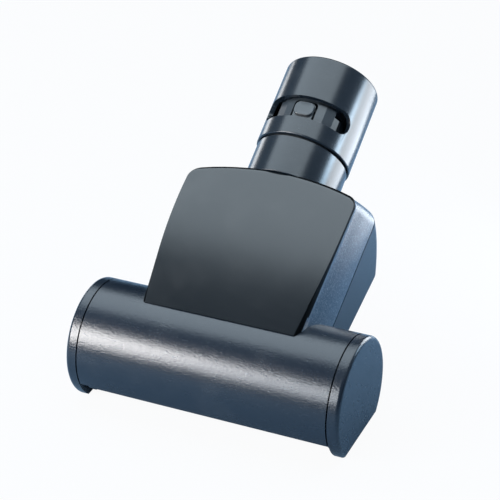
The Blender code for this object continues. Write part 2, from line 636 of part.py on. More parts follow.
def bristle_strip(name, start, end, turn, parent, material):
    """A row of tufts that stand on a backing strip in the core's groove, wound round the axis."""
    tufts = max(2, round((end - start) / TUFT_PITCH))
    pitch = (end - start) / tufts
    spans = []
    for i in range(tufts):
        first = start + pitch * i + (TUFT_GAP / 2 if i else 0)
        last = start + pitch * (i + 1) - (TUFT_GAP / 2 if i < tufts - 1 else 0)
        spans.append((first, last))
    places = [x for span in spans for x in span]
    radii = (BRISTLE_SEAT, BRISTLE_SEAT + BRISTLE_BACKING, BRISTLE_RADIUS)
    mesh_data = bmesh.new()
    half = BRISTLE_THICKNESS / 2
    grid = [[[mesh_data.verts.new(helix_points(x, x, turn, radius, offset, 1)[0]) for offset in (-half, half)]
             for radius in radii] for x in places]
    for i, (near, far) in enumerate(zip(grid, grid[1:])):
        standing = i % 2 == 0
        rows = (0, 1) if standing else (0,)
        for row in rows:
            for k in (0, 1):
                mesh_data.faces.new((near[row][k], far[row][k], far[row + 1][k], near[row + 1][k]))
        top = rows[-1] + 1
        for row in (0, top):
            mesh_data.faces.new((near[row][0], far[row][0], far[row][1], near[row][1]))
    for i, column in enumerate(grid):
        outer_end = i in (0, len(grid) - 1)
        for row in (0, 1) if outer_end else (1,):
            mesh_data.faces.new((column[row][0], column[row][1], column[row + 1][1], column[row + 1][0]))
    bmesh.ops.triangulate(mesh_data, faces=mesh_data.faces[:])
    return solid(name, mesh_data, parent, material, smooth=0)


def tooth_outline(teeth, pitch_radius, centre, phase):
    """Outline of a toothed pulley whose gaps leave a running clearance round the belt's teeth."""
    crest = pitch_radius - BELT_BACK / 2 - FIT_GAP / 2
    root = crest - TOOTH_HEIGHT - FIT_GAP / 2
    gap = TOOTH_SHARE * TOOTH_PITCH + 2 * TOOTH_CLEARANCE
    points = []
    for i in range(teeth):
        middle = phase + math.tau * i / teeth
        wide = gap / crest / 2
        narrow = (gap - FIT_GAP) / root / 2
        for angle, radius in ((-wide, crest), (-narrow, root), (narrow, root), (wide, crest)):
            points.append((centre[0] + radius * math.cos(middle + angle),
                           centre[1] + radius * math.sin(middle + angle)))
    return points


def toothed_wheel(name, teeth, bore, pitch_radius, parent, material, centre, phase, flanged):
    """Pulley with belt teeth, one gap at the phase angle, flanges where it has them and a bore."""
    half = BELT_WIDTH / 2 + FIT_GAP
    wheel = prism(name, tooth_outline(teeth, pitch_radius, centre, phase), BELT_CENTRE - half - FIT_GAP / 2,
                  BELT_CENTRE + half + FIT_GAP / 2, parent, material, smooth=0)
    if flanged:
        for side in (-1, 1):
            inner = BELT_CENTRE + side * half
            outer = BELT_CENTRE + side * PULLEY_HALF_WIDTH
            join(wheel, rod(f"{name}_flange_{side}", pitch_radius + PULLEY_FLANGE_RISE, inner, outer, 24,
                            parent, about="X", centre=centre))
    cut(wheel, rod(f"{name}_bore", bore, BELT_CENTRE - LONG_OVERRUN, BELT_CENTRE + LONG_OVERRUN, 14, parent,
                   about="X", centre=centre))
    return wheel


def belt_spot(distance, depth):
    """A point beside the belt's pitch line, this far along it, and this far inside it."""
    small = (math.pi - 2 * BELT_LEAN) * PINION_RADIUS
    distance %= BELT_TEETH * TOOTH_PITCH
    start = math.pi / 2 - BELT_LEAN
    far_centre = Vector((TURBINE_DISTANCE, 0))
    if distance <= BELT_STRAIGHT:
        outward = Vector((math.cos(start), math.sin(start)))
        along = Vector((math.sin(start), -math.cos(start)))
        return outward * (PULLEY_RADIUS - depth) + along * distance
    distance -= BELT_STRAIGHT
    if distance <= small:
        angle = start - distance / PINION_RADIUS
        return far_centre + Vector((math.cos(angle), math.sin(angle))) * (PINION_RADIUS - depth)
    distance -= small
    if distance <= BELT_STRAIGHT:
        outward = Vector((math.cos(start), -math.sin(start)))
        along = Vector((-math.sin(start), -math.cos(start)))
        return far_centre + outward * (PINION_RADIUS - depth) + along * distance
    angle = -start - (distance - BELT_STRAIGHT) / PULLEY_RADIUS
    return Vector((math.cos(angle), math.sin(angle))) * (PULLEY_RADIUS - depth)


def drive_belt(body, rubber):
    """Toothed belt that lies round both pulleys, each tooth in a gap."""
    half_tooth = TOOTH_SHARE * TOOTH_PITCH / 2
    inner = []
    outer = []
    for i in range(BELT_TEETH):
        middle = TOOTH_PITCH * i
        for shift, depth in ((-half_tooth, BELT_BACK / 2), (-half_tooth * 0.75, BELT_BACK / 2 + TOOTH_HEIGHT),
                             (half_tooth * 0.75, BELT_BACK / 2 + TOOTH_HEIGHT), (half_tooth, BELT_BACK / 2)):
            inner.append(belt_spot(middle + shift, depth))
        outer.append(belt_spot(middle, -BELT_BACK / 2))
    start = BELT_CENTRE - BELT_WIDTH / 2
    end = BELT_CENTRE + BELT_WIDTH / 2
    belt = prism("drive_belt", outer, start, end, body, rubber, smooth=0)
    cut(belt, prism("belt_inside", inner, start - OVERRUN, end + OVERRUN, body, smooth=0))
    return belt


def belt_guard(body, grey):
    """Hoop that keeps dirt off the belt inside the roller chamber, with both legs at the partition."""
    inner = PULLEY_RADIUS + PULLEY_FLANGE_RISE + GUARD_CLEARANCE
    outer = inner + GUARD_WALL
    leg = math.sqrt((CHAMBER_RADIUS - FIT_GAP) ** 2 - outer ** 2) - FIT_GAP
    hoop_outer = arc((0, 0), outer, math.pi / 2, 3 * math.pi / 2, 16)
    hoop_inner = arc((0, 0), inner, 3 * math.pi / 2, math.pi / 2, 16)
    outline = [(leg, outer), *hoop_outer, (leg, -outer), (leg, -inner), *hoop_inner, (leg, inner)]
    half = PULLEY_HALF_WIDTH - FIT_GAP
    return prism("belt_guard", outline, BELT_CENTRE - half, BELT_CENTRE + half, body, grey)


def blade_outline():
    """Hub with curved blades, as one outline: each blade is an arc that leans back toward its tip."""
    points = []
    steps = 4
    half = BLADE_THICKNESS / 2
    for i in range(WHEEL_BLADES):
        base = math.tau * i / WHEEL_BLADES
        spine = []
        for k in range(steps + 1):
            share = k / steps
            radius = WHEEL_HUB_RADIUS + (WHEEL_RADIUS - WHEEL_HUB_RADIUS) * share
            spine.append((radius, base + BLADE_SWEEP * share ** 1.6))
        front = [(radius, angle - half / radius) for radius, angle in spine]
        back = [(radius, angle + half / radius) for radius, angle in reversed(spine)]
        for radius, angle in front + back:
            points.append((TURBINE_DISTANCE + radius * math.cos(angle), radius * math.sin(angle)))
        gap_middle = base + math.pi / WHEEL_BLADES
        points.append((TURBINE_DISTANCE + WHEEL_HUB_RADIUS * math.cos(gap_middle),
                       WHEEL_HUB_RADIUS * math.sin(gap_middle)))
    return points


def turbine(body, steel, bronze, nylon, grey):
    """Bladed wheel on its shaft, with a pinion outside the right bearing."""
    wheel = prism("turbine_wheel", blade_outline(), -WHEEL_LENGTH / 2, WHEEL_LENGTH / 2, body, grey, smooth=0)
    centre = (TURBINE_DISTANCE, 0)
    join(wheel, rod("wheel_disc", WHEEL_DISC_RADIUS, -WHEEL_DISC_WIDTH / 2, WHEEL_DISC_WIDTH / 2, 24, body,
                    about="X", centre=centre))
    bore = SHAFT_RADIUS + FIT_GAP
    cut(wheel, rod("wheel_bore", bore, -WHEEL_LENGTH, WHEEL_LENGTH, 14, body, about="X", centre=centre))
    right_end = BELT_CENTRE + BELT_WIDTH / 2 + SHAFT_STANDOUT
    left_end = -BEARING_RIB - BEARING_WIDTH / 2 - SHAFT_STANDOUT
    rod("turbine_shaft", SHAFT_RADIUS, left_end, right_end, 14, body, steel, about="X", centre=centre)
    for name, side in (("left_turbine_bearing", -1), ("right_turbine_bearing", 1)):
        middle = side * BEARING_RIB
        ring = rod(name, BEARING_RADIUS, middle - BEARING_WIDTH / 2, middle + BEARING_WIDTH / 2, 14, body,
                   bronze, about="X", centre=centre)
        inner = middle - side * (BEARING_RIB_WIDTH / 2 + FIT_GAP)
        collar = inner - side * (BEARING_WIDTH - BEARING_RIB_WIDTH) / 2
        join(ring, rod(f"{name}_collar", BEARING_RADIUS + BEARING_COLLAR, inner, collar, 14, body,
                       about="X", centre=centre))
        cut(ring, rod(f"{name}_bore", bore, middle - BEARING_WIDTH, middle + BEARING_WIDTH, 12, body,
                      about="X", centre=centre))
    phase = math.pi / 2 - BELT_LEAN + BELT_STRAIGHT / PINION_RADIUS
    toothed_wheel("turbine_pinion", PINION_TEETH, bore, PINION_RADIUS, body, nylon, centre, phase, False)


def air_nozzle(body, grey):
    """Rectangular duct through the partition that turns the air onto the wheel's lower blades."""
    duct = box("air_nozzle", (-NOZZLE_HALF_WIDTH, NOZZLE_START, NOZZLE_BOTTOM),
               (NOZZLE_HALF_WIDTH, NOZZLE_END, NOZZLE_TOP), body, grey)
    cut(duct, box("nozzle_hole", (-NOZZLE_HALF_WIDTH + NOZZLE_WALL, 0, NOZZLE_BOTTOM + NOZZLE_WALL),
                  (NOZZLE_HALF_WIDTH - NOZZLE_WALL, BIG, NOZZLE_TOP - NOZZLE_WALL), body))
    return duct


def screws(body, steel):
    """Four screws that pull the lower shell up to the upper one."""
    for place, (x, distance) in SCREW_PLACES.items():
        spot = frame(f"screw_place_{place}", (x, distance, 0), (0, 0, 0), body)
        seat = SCREW_SEAT - FIT_GAP
        head = seat - SCREW_HEAD_HEIGHT
        tip = SCREW_POINT - SCREW_RADIUS
        drive = head + SCREW_DRIVE_DEPTH
        profile = [(0, drive), (SCREW_DRIVE_RADIUS, drive), (SCREW_DRIVE_RADIUS, head),
                   (SCREW_HEAD_RADIUS - SCREW_HEAD_BEVEL, head), (SCREW_HEAD_RADIUS, head + SCREW_HEAD_BEVEL),
                   (SCREW_HEAD_RADIUS, seat), (SCREW_RADIUS, seat),
                   (SCREW_RADIUS, tip), (SCREW_RADIUS * 0.3, SCREW_POINT), (0, SCREW_POINT)]
        lathe(f"{place}_screw", profile, 10, spot, steel)


def lathe(name, profile, steps, parent, material):
    """Spins an open profile whose two ends lie on the frame's Z."""
    mesh_data = bmesh.new()
    ring = [mesh_data.verts.new((radius, 0, height)) for radius, height in profile]
    edges = [mesh_data.edges.new(pair) for pair in zip(ring, ring[1:])]
    bmesh.ops.spin(mesh_data, geom=ring + edges, cent=(0, 0, 0), axis=(0, 0, 1), angle=math.tau, steps=steps,
                   use_merge=True)
    bmesh.ops.remove_doubles(mesh_data, verts=mesh_data.verts, dist=SAME_POINT)
    return solid(name, mesh_data, parent, material)


def neck_tube(neck, black, seal_rubber):
    """Tube that the shells clamp by its waist, with a grooved spigot for the sleeve."""
    start = NECK_RIB - FIT_GAP - NECK_FLANGE_WIDTH - SLEEVE_START
    waist = NECK_RIB - FIT_GAP - SLEEVE_START
    shoulder = NECK_SHOULDER - SLEEVE_START
    groove = SLEEVE_LIP_LENGTH + FIT_GAP
    floor = SPIGOT_RADIUS - CLIP_DEPTH - FIT_GAP
    groove_end = groove + CLIP_WIDTH + 2 * FIT_GAP
    profile = [(NECK_BORE, start), (NECK_FLANGE_RADIUS, start), (NECK_FLANGE_RADIUS, waist),
               (NECK_WAIST_RADIUS, waist), (NECK_WAIST_RADIUS, shoulder), (NECK_RADIUS, shoulder),
               (NECK_RADIUS, -SEAL_GROOVE), (SPIGOT_RADIUS, -SEAL_GROOVE), (SPIGOT_RADIUS, groove),
               (floor, groove), (floor, groove_end), (SPIGOT_RADIUS, groove_end),
               (SPIGOT_RADIUS, SPIGOT_LENGTH), (NECK_BORE, SPIGOT_LENGTH)]
    tube = turned("neck_tube", profile, 38, neck, black)
    top = NECK_FLANGE_TOP - NECK_LEVEL
    cut(tube, box("flange_flat", (-BIG, -BIG, start - LONG_OVERRUN), (BIG, -top, shoulder - 2 * FIT_GAP),
                  neck))
    bottom = -SEAL_GROOVE + FIT_GAP / 2
    inner = SPIGOT_RADIUS + FIT_GAP
    outer = SPIGOT_RADIUS + SEAL_REACH
    ring = [(inner, bottom), (outer, bottom), (outer, -FIT_GAP / 2), (inner, -FIT_GAP / 2)]
    turned("swivel_seal", ring, 30, neck, seal_rubber)
    return tube


def retaining_ring(neck, steel):
    """Open spring ring in the spigot's groove, in front of the sleeve's lip."""
    low = SLEEVE_LIP_LENGTH + 2 * FIT_GAP
    inner = SPIGOT_RADIUS - CLIP_DEPTH
    high = low + CLIP_WIDTH
    profile = [(inner, low), (CLIP_RADIUS, low), (CLIP_RADIUS, high), (inner, high)]
    ring = turned("retaining_ring", profile, 28, neck, steel)
    reach = CLIP_RADIUS * math.sin(CLIP_OPENING / 2)
    cut(ring, box("ring_opening", (-reach, 0, 0), (reach, BIG, LONG_OVERRUN), neck))
    return ring


def window_cutter(neck):
    """The sleeve's long window: a slot with round ends, bent round the neck axis."""
    centre_height = WINDOW_LOW + WINDOW_HEIGHT / 2
    radius = WINDOW_HEIGHT / 2
    straight = WINDOW_HALF_ANGLE * SLEEVE_RADIUS - radius
    stations = [-straight - radius * math.cos(math.pi * i / 12) for i in range(7)]
    stations += [-straight + 2 * straight * i / 14 for i in range(1, 15)]
    stations += [straight + radius * math.sin(math.pi * i / 12) for i in range(1, 7)]
    mesh_data = bmesh.new()
    columns = []
    for along in stations:
        over = max(abs(along) - straight, 0)
        half = math.sqrt(max(radius ** 2 - over ** 2, 0))
        angle = along / SLEEVE_RADIUS
        column = []
        for reach in (SLEEVE_BORE - 2 * OVERRUN, SLEEVE_RADIUS + 2 * OVERRUN):
            spot = Vector((reach * math.sin(angle), -reach * math.cos(angle), 0))
            heights = (-half, half) if half > FIT_GAP / 6 else (0,)
            spots = [spot + Vector((0, 0, centre_height + height)) for height in heights]
            column.append([mesh_data.verts.new(place) for place in spots])
        columns.append(column)
    for first, second in zip(columns, columns[1:]):
        for k in (0, 1):
            face = first[k] + second[k][::-1]
            mesh_data.faces.new(face)
        for end in (0, -1):
            mesh_data.faces.new((first[0][end], second[0][end], second[1][end], first[1][end]))
    return solid("sleeve_window", mesh_data, neck)


def swivel_sleeve(neck, black):
    """Outer sleeve that turns on the spigot, with a window and a lip round the hose socket."""
    lip = SPIGOT_RADIUS + FIT_GAP
    mouth = HOSE_TUBE_RADIUS + HOSE_FIT + FIT_GAP
    profile = [(lip, 0), (SLEEVE_RADIUS - SLEEVE_START_BEVEL, 0), (SLEEVE_RADIUS, SLEEVE_START_BEVEL)]
    profile += arc((SLEEVE_RADIUS - SLEEVE_END_ROUND, SLEEVE_LENGTH - SLEEVE_END_ROUND), SLEEVE_END_ROUND,
                   0, math.pi / 2, 3)
    end_lip = SLEEVE_LENGTH - SLEEVE_END_LIP
    profile += [(mouth, SLEEVE_LENGTH), (mouth, end_lip), (SLEEVE_BORE, end_lip),
                (SLEEVE_BORE, SLEEVE_LIP_LENGTH), (lip, SLEEVE_LIP_LENGTH)]
    sleeve = turned("swivel_sleeve", profile, 46, neck, black)
    cut(sleeve, window_cutter(neck))
    return sleeve


def arc_slab(name, inner, outer, from_angle, to_angle, low, high, steps, parent, material=None):
    """Part of a tube wall between two angles, which run from the panel side toward +X."""
    points = []
    for i in range(steps + 1):
        angle = from_angle + (to_angle - from_angle) * i / steps
        points.append((math.sin(angle), -math.cos(angle)))
    outline = [(x * outer, y * outer) for x, y in points]
    outline += [(x * inner, y * inner) for x, y in reversed(points)]
    return prism(name, outline, low, high, parent, material, axis="Z", smooth=0)


def socket_liner(neck, grey):
    """Inner tube of the sleeve: flange, channel wall with its air port, and the socket for the hose tube."""
    seat = SLEEVE_BORE - FIT_GAP
    socket = HOSE_TUBE_RADIUS + HOSE_FIT
    flange = LINER_START + LINER_FLANGE
    end = SLEEVE_LENGTH - SLEEVE_END_LIP - FIT_GAP
    profile = [(LINER_BORE, LINER_START), (seat, LINER_START), (seat, flange), (LINER_RADIUS, flange),
               (LINER_RADIUS, CHANNEL_END), (seat, CHANNEL_END), (seat, end), (socket, end),
               (socket, CHANNEL_END + SOCKET_FLOOR), (LINER_BORE, CHANNEL_END + SOCKET_FLOOR)]
    liner = turned("socket_liner", profile, 38, neck, grey)
    cut(liner, arc_slab("air_port", LINER_BORE - OVERRUN, LINER_RADIUS + OVERRUN, PORT_FROM, PORT_TO,
                        PORT_LOW, PORT_HIGH, 6, neck))
    return liner


def regulator(neck, grey, black):
    """Faceted plate that slides round behind the window, and the thumb latch that is pivoted in it."""
    low = LINER_START + LINER_FLANGE + FIT_GAP
    high = CHANNEL_END - FIT_GAP
    face = SLEEVE_BORE - FIT_GAP
    slide = arc_slab("regulator_slide", SLIDE_INNER_RADIUS, SLIDE_RIM_RADIUS, -SLIDE_HALF_ANGLE,
                     SLIDE_HALF_ANGLE, low, high, SLIDE_FACETS, neck, grey)
    root = (SLIDE_INNER_RADIUS + SLIDE_RIM_RADIUS) / 2
    join(slide, arc_slab("slide_face", root, face, -SLIDE_HALF_ANGLE, SLIDE_HALF_ANGLE,
                         low + SLIDE_FACE_STEP, SLIDE_FACE_TOP, SLIDE_FACETS, neck))
    opening = LATCH_HALF_WIDTH + LATCH_SLOT
    pocket = LATCH_HALF_WIDTH + LATCH_PIVOT_LENGTH + FIT_GAP
    rounding = LATCH_CORNER + LATCH_SLOT / 2
    top = LATCH_TOP + LATCH_SLOT
    shape = [(-opening, -LONG_OVERRUN), (opening, -LONG_OVERRUN),
             *arc((opening - rounding, top - rounding), rounding, 0, math.pi / 2, 4),
             *arc((rounding - opening, top - rounding), rounding, math.pi / 2, math.pi, 4)]
    tongue_hole = flat_plate("tongue_hole", shape, LINER_BORE, SLEEVE_RADIUS, neck)
    notch = box("pivot_pocket", (-pocket, -LATCH_PIVOT_DEPTH - LATCH_PIVOT_RADIUS - FIT_GAP, 0),
                (pocket, 0, LATCH_PIVOT + LATCH_PIVOT_RADIUS + FIT_GAP), neck)
    cut(slide, tongue_hole, notch)
    pivot = frame("latch_pivot", (0, -LATCH_PIVOT_DEPTH, LATCH_PIVOT), (0, 0, 0), neck)
    half = LATCH_HALF_WIDTH
    tongue_top = LATCH_TOP - LATCH_PIVOT
    bend = tongue_top - LATCH_CORNER
    tongue_shape = [(-half, LATCH_BOTTOM - LATCH_PIVOT), (half, LATCH_BOTTOM - LATCH_PIVOT),
                    *arc((half - LATCH_CORNER, bend), LATCH_CORNER, 0, math.pi / 2, 4),
                    *arc((LATCH_CORNER - half, bend), LATCH_CORNER, math.pi / 2, math.pi, 4)]
    back = LATCH_INNER - LATCH_PIVOT_DEPTH
    front = back + LATCH_THICKNESS
    latch = flat_plate("regulator_latch", tongue_shape, back, front, pivot, black)
    low_centre = tongue_top - PAD_HEIGHT + PAD_CORNER
    high_centre = tongue_top - PAD_CORNER
    pad = [*arc((half - PAD_CORNER, high_centre), PAD_CORNER - PAD_INSET, 0, math.pi / 2, 5),
           *arc((PAD_CORNER - half, high_centre), PAD_CORNER - PAD_INSET, math.pi / 2, math.pi, 5),
           *arc((PAD_CORNER - half, low_centre), PAD_CORNER - PAD_INSET, math.pi, 3 * math.pi / 2, 5),
           *arc((half - PAD_CORNER, low_centre), PAD_CORNER - PAD_INSET, 3 * math.pi / 2, math.tau, 5)]
    join(latch, flat_plate("latch_pad", pad, (back + front) / 2, front + PAD_RISE, pivot))
    trunnion_end = half + LATCH_PIVOT_LENGTH
    join(latch, rod("latch_trunnions", LATCH_PIVOT_RADIUS, -trunnion_end, trunnion_end, 12, pivot, about="X"))


def flat_plate(name, outline, low, high, parent, material=None):
    """A plate that faces the panel side: the outline is in X and along the neck, the depth is outward."""
    mesh_data = bmesh.new()
    face = mesh_data.faces.new([mesh_data.verts.new((x, -low, along)) for x, along in outline])
    moved = bmesh.ops.extrude_face_region(mesh_data, geom=[face])
    far = [v for v in moved["geom"] if isinstance(v, bmesh.types.BMVert)]
    bmesh.ops.translate(mesh_data, verts=far, vec=(0, low - high, 0))
    return solid(name, mesh_data, parent, material)


def main():
    clear_scene()
    black = plastic("black_shell", (0.030, 0.034, 0.040), 0.32)
    grey = plastic("grey_insert", (0.055, 0.060, 0.066), 0.42)
    steel = plastic("bright_steel", (0.62, 0.63, 0.65), 0.28, 1.0)
    bronze = plastic("bush_bronze", (0.42, 0.26, 0.12), 0.40, 1.0)
    nylon = plastic("pulley_nylon", (0.62, 0.60, 0.54), 0.45)
    rubber = plastic("belt_rubber", (0.020, 0.020, 0.021), 0.75)
    fibre = plastic("bristle_fibre", (0.035, 0.038, 0.043), 0.65)
    seal_rubber = plastic("seal_rubber", (0.012, 0.012, 0.013), 0.8)
    head = frame("head_frame", (0, HEAD_AXIS_Y, HEAD_AXIS_HEIGHT), (0, 0, 0))
    body = frame("body_frame", (0, HEAD_AXIS_Y, HEAD_AXIS_HEIGHT), (BODY_TILT, 0, 0))
    neck = frame("neck_frame", (0, SLEEVE_START, NECK_LEVEL), (-math.pi / 2, 0, 0), body)
    upper_shell(body, head, neck, black)
    lower_shell(body, head, neck, black)
    end_cap("left_end_cap", -1, head, black)
    end_cap("right_end_cap", 1, head, black)
    roller(head, black, steel, bronze, nylon, fibre)
    drive_belt(body, rubber)
    belt_guard(body, grey)
    turbine(body, steel, bronze, nylon, grey)
    air_nozzle(body, grey)
    screws(body, steel)
    neck_tube(neck, black, seal_rubber)
    retaining_ring(neck, steel)
    swivel_sleeve(neck, black)
    socket_liner(neck, grey)
    regulator(neck, grey, black)


main()
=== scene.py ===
import json
import math
import random

import bmesh
import bpy
from mathutils import Matrix, Vector


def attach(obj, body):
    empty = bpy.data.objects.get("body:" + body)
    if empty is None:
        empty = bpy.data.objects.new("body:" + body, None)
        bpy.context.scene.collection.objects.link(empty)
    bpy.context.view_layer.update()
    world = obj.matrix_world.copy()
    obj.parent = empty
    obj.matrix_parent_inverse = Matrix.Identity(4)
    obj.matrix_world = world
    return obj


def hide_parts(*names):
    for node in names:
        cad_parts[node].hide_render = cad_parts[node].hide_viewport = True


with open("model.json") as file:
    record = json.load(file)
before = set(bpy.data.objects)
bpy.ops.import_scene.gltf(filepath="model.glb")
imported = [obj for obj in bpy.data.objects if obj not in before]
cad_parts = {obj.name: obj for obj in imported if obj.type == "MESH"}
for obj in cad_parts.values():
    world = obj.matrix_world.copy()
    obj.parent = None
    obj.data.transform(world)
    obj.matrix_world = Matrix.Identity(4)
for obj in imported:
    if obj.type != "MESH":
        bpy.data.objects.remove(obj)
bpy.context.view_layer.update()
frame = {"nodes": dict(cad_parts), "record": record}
print("turbo brush: frame loaded")

# The roller axis, the tilted body and the neck that leaves it, in metres
lay = {"axisY": -0.015247, "axisZ": 0.019, "tilt": math.radians(30.8), "neckStart": 0.10105, "neckLevel": 0.004}
headPlace = Matrix.Translation((0, lay["axisY"], lay["axisZ"]))
bodyPlace = headPlace @ Matrix.Rotation(lay["tilt"], 4, "X")
neckPlace = bodyPlace @ Matrix.Translation((0, lay["neckStart"], lay["neckLevel"])) @ Matrix.Rotation(-math.pi / 2, 4, "X")


# Workshop: small helpers round Blender's own operators
def selectOnly(*pieces):
    if bpy.context.mode != "OBJECT":
        bpy.ops.object.mode_set(mode="OBJECT")
    bpy.ops.object.select_all(action="DESELECT")
    for piece in pieces:
        piece.select_set(True)
    if pieces:
        bpy.context.view_layer.objects.active = pieces[0]


def editPiece(piece, mode="VERT"):
    selectOnly(piece)
    bpy.ops.object.mode_set(mode="EDIT")
    bpy.ops.mesh.select_mode(type=mode)


def pick(kind, test):
    # selects the verts, edges or faces that pass the test, and says how many
    mesh = bmesh.from_edit_mesh(bpy.context.edit_object.data)
    for item in list(mesh.faces) + list(mesh.edges) + list(mesh.verts):
        item.select_set(False)
    found = [item for item in getattr(mesh, kind) if test(item)]
    for item in found:
        item.select_set(True)
    bmesh.update_edit_mesh(bpy.context.edit_object.data)
    return len(found)


def cleanMesh(piece):
    editPiece(piece)
    bpy.ops.mesh.select_all(action="SELECT")
    bpy.ops.mesh.remove_doubles(threshold=0.000002)
    bpy.ops.mesh.select_all(action="SELECT")
    bpy.ops.mesh.normals_make_consistent(inside=False)
    bpy.ops.object.mode_set(mode="OBJECT")


def applyPlace(piece, matrix=None):
    if matrix is not None:
        piece.matrix_world = matrix @ piece.matrix_world
        bpy.context.view_layer.update()
    selectOnly(piece)
    bpy.ops.object.transform_apply(location=True, rotation=True, scale=True)
    return piece


def useModifiers(piece):
    selectOnly(piece)
    for modifier in list(piece.modifiers):
        bpy.ops.object.modifier_apply(modifier=modifier.name)


def mergeClose(piece, reach):
    editPiece(piece)
    bpy.ops.mesh.select_all(action="SELECT")
    bpy.ops.mesh.remove_doubles(threshold=reach)
    bpy.ops.object.mode_set(mode="OBJECT")


def carve(piece, *tools, operation="DIFFERENCE"):
    for tool in tools:
        step = piece.modifiers.new("carve", "BOOLEAN")
        step.operation = operation
        step.solver = "EXACT"
        step.object = tool
        useModifiers(piece)
        bpy.data.objects.remove(tool, do_unlink=True)
        mergeClose(piece, 0.00002)  # slivers go, so that soft edges keep their width
    return piece


def softEdges(piece, width, segments=2, angle=32, clamp=True):
    step = piece.modifiers.new("soft edges", "BEVEL")
    step.width = width
    step.segments = segments
    step.limit_method = "ANGLE"
    step.angle_limit = math.radians(angle)
    step.use_clamp_overlap = clamp
    useModifiers(piece)
    return piece


def block(name, low, high):
    selectOnly()
    middle = [(a + b) / 2 for a, b in zip(low, high)]
    bpy.ops.mesh.primitive_cube_add(size=1, location=middle)
    piece = bpy.context.active_object
    piece.name = name
    piece.scale = [b - a for a, b in zip(low, high)]
    return applyPlace(piece)


def barrel(name, radius, start, end, steps, about="X", centre=(0, 0)):
    # a plain round bar along X, Y or Z, for cutters and for parts that are shaped further
    selectOnly()
    middle = (start + end) / 2
    spot = {"X": (middle, *centre), "Y": (centre[0], middle, centre[1]), "Z": (*centre, middle)}[about]
    turn = {"X": (0, math.pi / 2, 0), "Y": (math.pi / 2, 0, 0), "Z": (0, 0, 0)}[about]
    bpy.ops.mesh.primitive_cylinder_add(vertices=steps, radius=radius, depth=abs(end - start), location=spot,
                                        rotation=turn)
    piece = bpy.context.active_object
    piece.name = name
    return applyPlace(piece)


def spun(name, profile, steps, closed=True, angle=math.tau):
    # one vertex is drawn out along the profile of (radius, height) points and spun round Z
    selectOnly()
    bpy.ops.mesh.primitive_plane_add(size=0.001, location=(profile[0][0], 0, profile[0][1]))
    piece = bpy.context.active_object
    piece.name = name
    applyPlace(piece)
    editPiece(piece)
    bpy.ops.mesh.select_all(action="SELECT")
    bpy.ops.mesh.merge(type="CENTER")
    path = list(profile) + ([profile[0]] if closed else [])
    for before, after in zip(path, path[1:]):
        bpy.ops.mesh.extrude_region_move(TRANSFORM_OT_translate={"value": (after[0] - before[0], 0, after[1] - before[1])})
    bpy.ops.mesh.select_all(action="SELECT")
    bpy.ops.mesh.remove_doubles(threshold=0.000002)
    bpy.ops.mesh.select_all(action="SELECT")
    bpy.ops.mesh.spin(steps=steps, angle=angle, center=(0, 0, 0), axis=(0, 0, 1))
    bpy.ops.mesh.select_all(action="SELECT")
    bpy.ops.mesh.fill_holes(sides=0)  # the ends of a part turn
    bpy.ops.object.mode_set(mode="OBJECT")
    cleanMesh(piece)
    return piece


def arcPoints(centre, radius, start, end, steps):
    return [(centre[0] + radius * math.cos(start + (end - start) * i / steps),
             centre[1] + radius * math.sin(start + (end - start) * i / steps)) for i in range(steps + 1)]


def plate(name, outline, low, high):
    # a flat outline in X and Z drawn out toward -Y, with its depth measured outward
    selectOnly()
    bpy.ops.mesh.primitive_circle_add(vertices=len(outline), radius=0.01, fill_type="NGON")
    piece = bpy.context.active_object
    piece.name = name
    editPiece(piece)
    mesh = bmesh.from_edit_mesh(piece.data)
    mesh.verts.ensure_lookup_table()
    for i, (x, z) in enumerate(outline):
        mesh.verts[i].co = (x, -low, z)
    bmesh.update_edit_mesh(piece.data)
    bpy.ops.mesh.select_all(action="SELECT")
    bpy.ops.mesh.extrude_region_move(TRANSFORM_OT_translate={"value": (0, low - high, 0)})
    bpy.ops.object.mode_set(mode="OBJECT")
    cleanMesh(piece)
    return piece


def finishPiece(piece, body, material, replaced=(), angle=30):
    selectOnly(piece)
    bpy.ops.object.shade_smooth_by_angle(angle=math.radians(angle))
    # large faces keep their own normals, so that the soft edges stay narrow
    step = piece.modifiers.new("face normals", "WEIGHTED_NORMAL")
    step.keep_sharp = True
    step.weight = 80
    useModifiers(piece)
    piece.data.materials.clear()
    piece.data.materials.append(material)
    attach(piece, body)
    if replaced:
        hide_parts(*replaced)
    return piece


# Finishes: shared effects are groups, and every material keeps its own shader
def addNode(tree, kind, values=None, **settings):
    # values go to the inputs: another node's output is linked, anything else is set
    node = tree.nodes.new("ShaderNode" + kind)
    for name, value in settings.items():
        setattr(node, name, value)
    for name, value in (values or {}).items():
        if isinstance(value, bpy.types.NodeSocket):
            tree.links.new(value, node.inputs[name])
        else:
            node.inputs[name].default_value = value
    return node


def calculate(tree, operation, *values):
    return addNode(tree, "Math", dict(enumerate(values)), operation=operation).outputs[0]


def mixColours(tree, share, first, second):
    return addNode(tree, "Mix", data_type="RGBA", values={"Factor": share, "A": first, "B": second}).outputs["Result"]


def remap(tree, value, low, high):
    # 0 at the low value, 1 at the high one
    return addNode(tree, "MapRange", {"Value": value, "From Min": low, "From Max": high}).outputs[0]


def newGroup(name, inputs, outputs):
    group = bpy.data.node_groups.new(name, "ShaderNodeTree")
    for title, (kind, value) in inputs.items():
        socket = group.interface.new_socket(title, in_out="INPUT", socket_type="NodeSocket" + kind)
        if value is not None:
            socket.default_value = value
    for title, kind in outputs.items():
        group.interface.new_socket(title, in_out="OUTPUT", socket_type="NodeSocket" + kind)
    return group, group.nodes.new("NodeGroupInput").outputs, group.nodes.new("NodeGroupOutput").inputs


# the grain's own settings, with the bluish white and the upper end of the painted glint specks
grainLook = {"detail": 3, "crispness": 0.6, "pitDepth": 0.45, "driftScale": 35, "driftDetail": 4, "paintedGlintEnd": 0.72,
             "paintedGlintColour": (0.16, 0.20, 0.25, 1)}


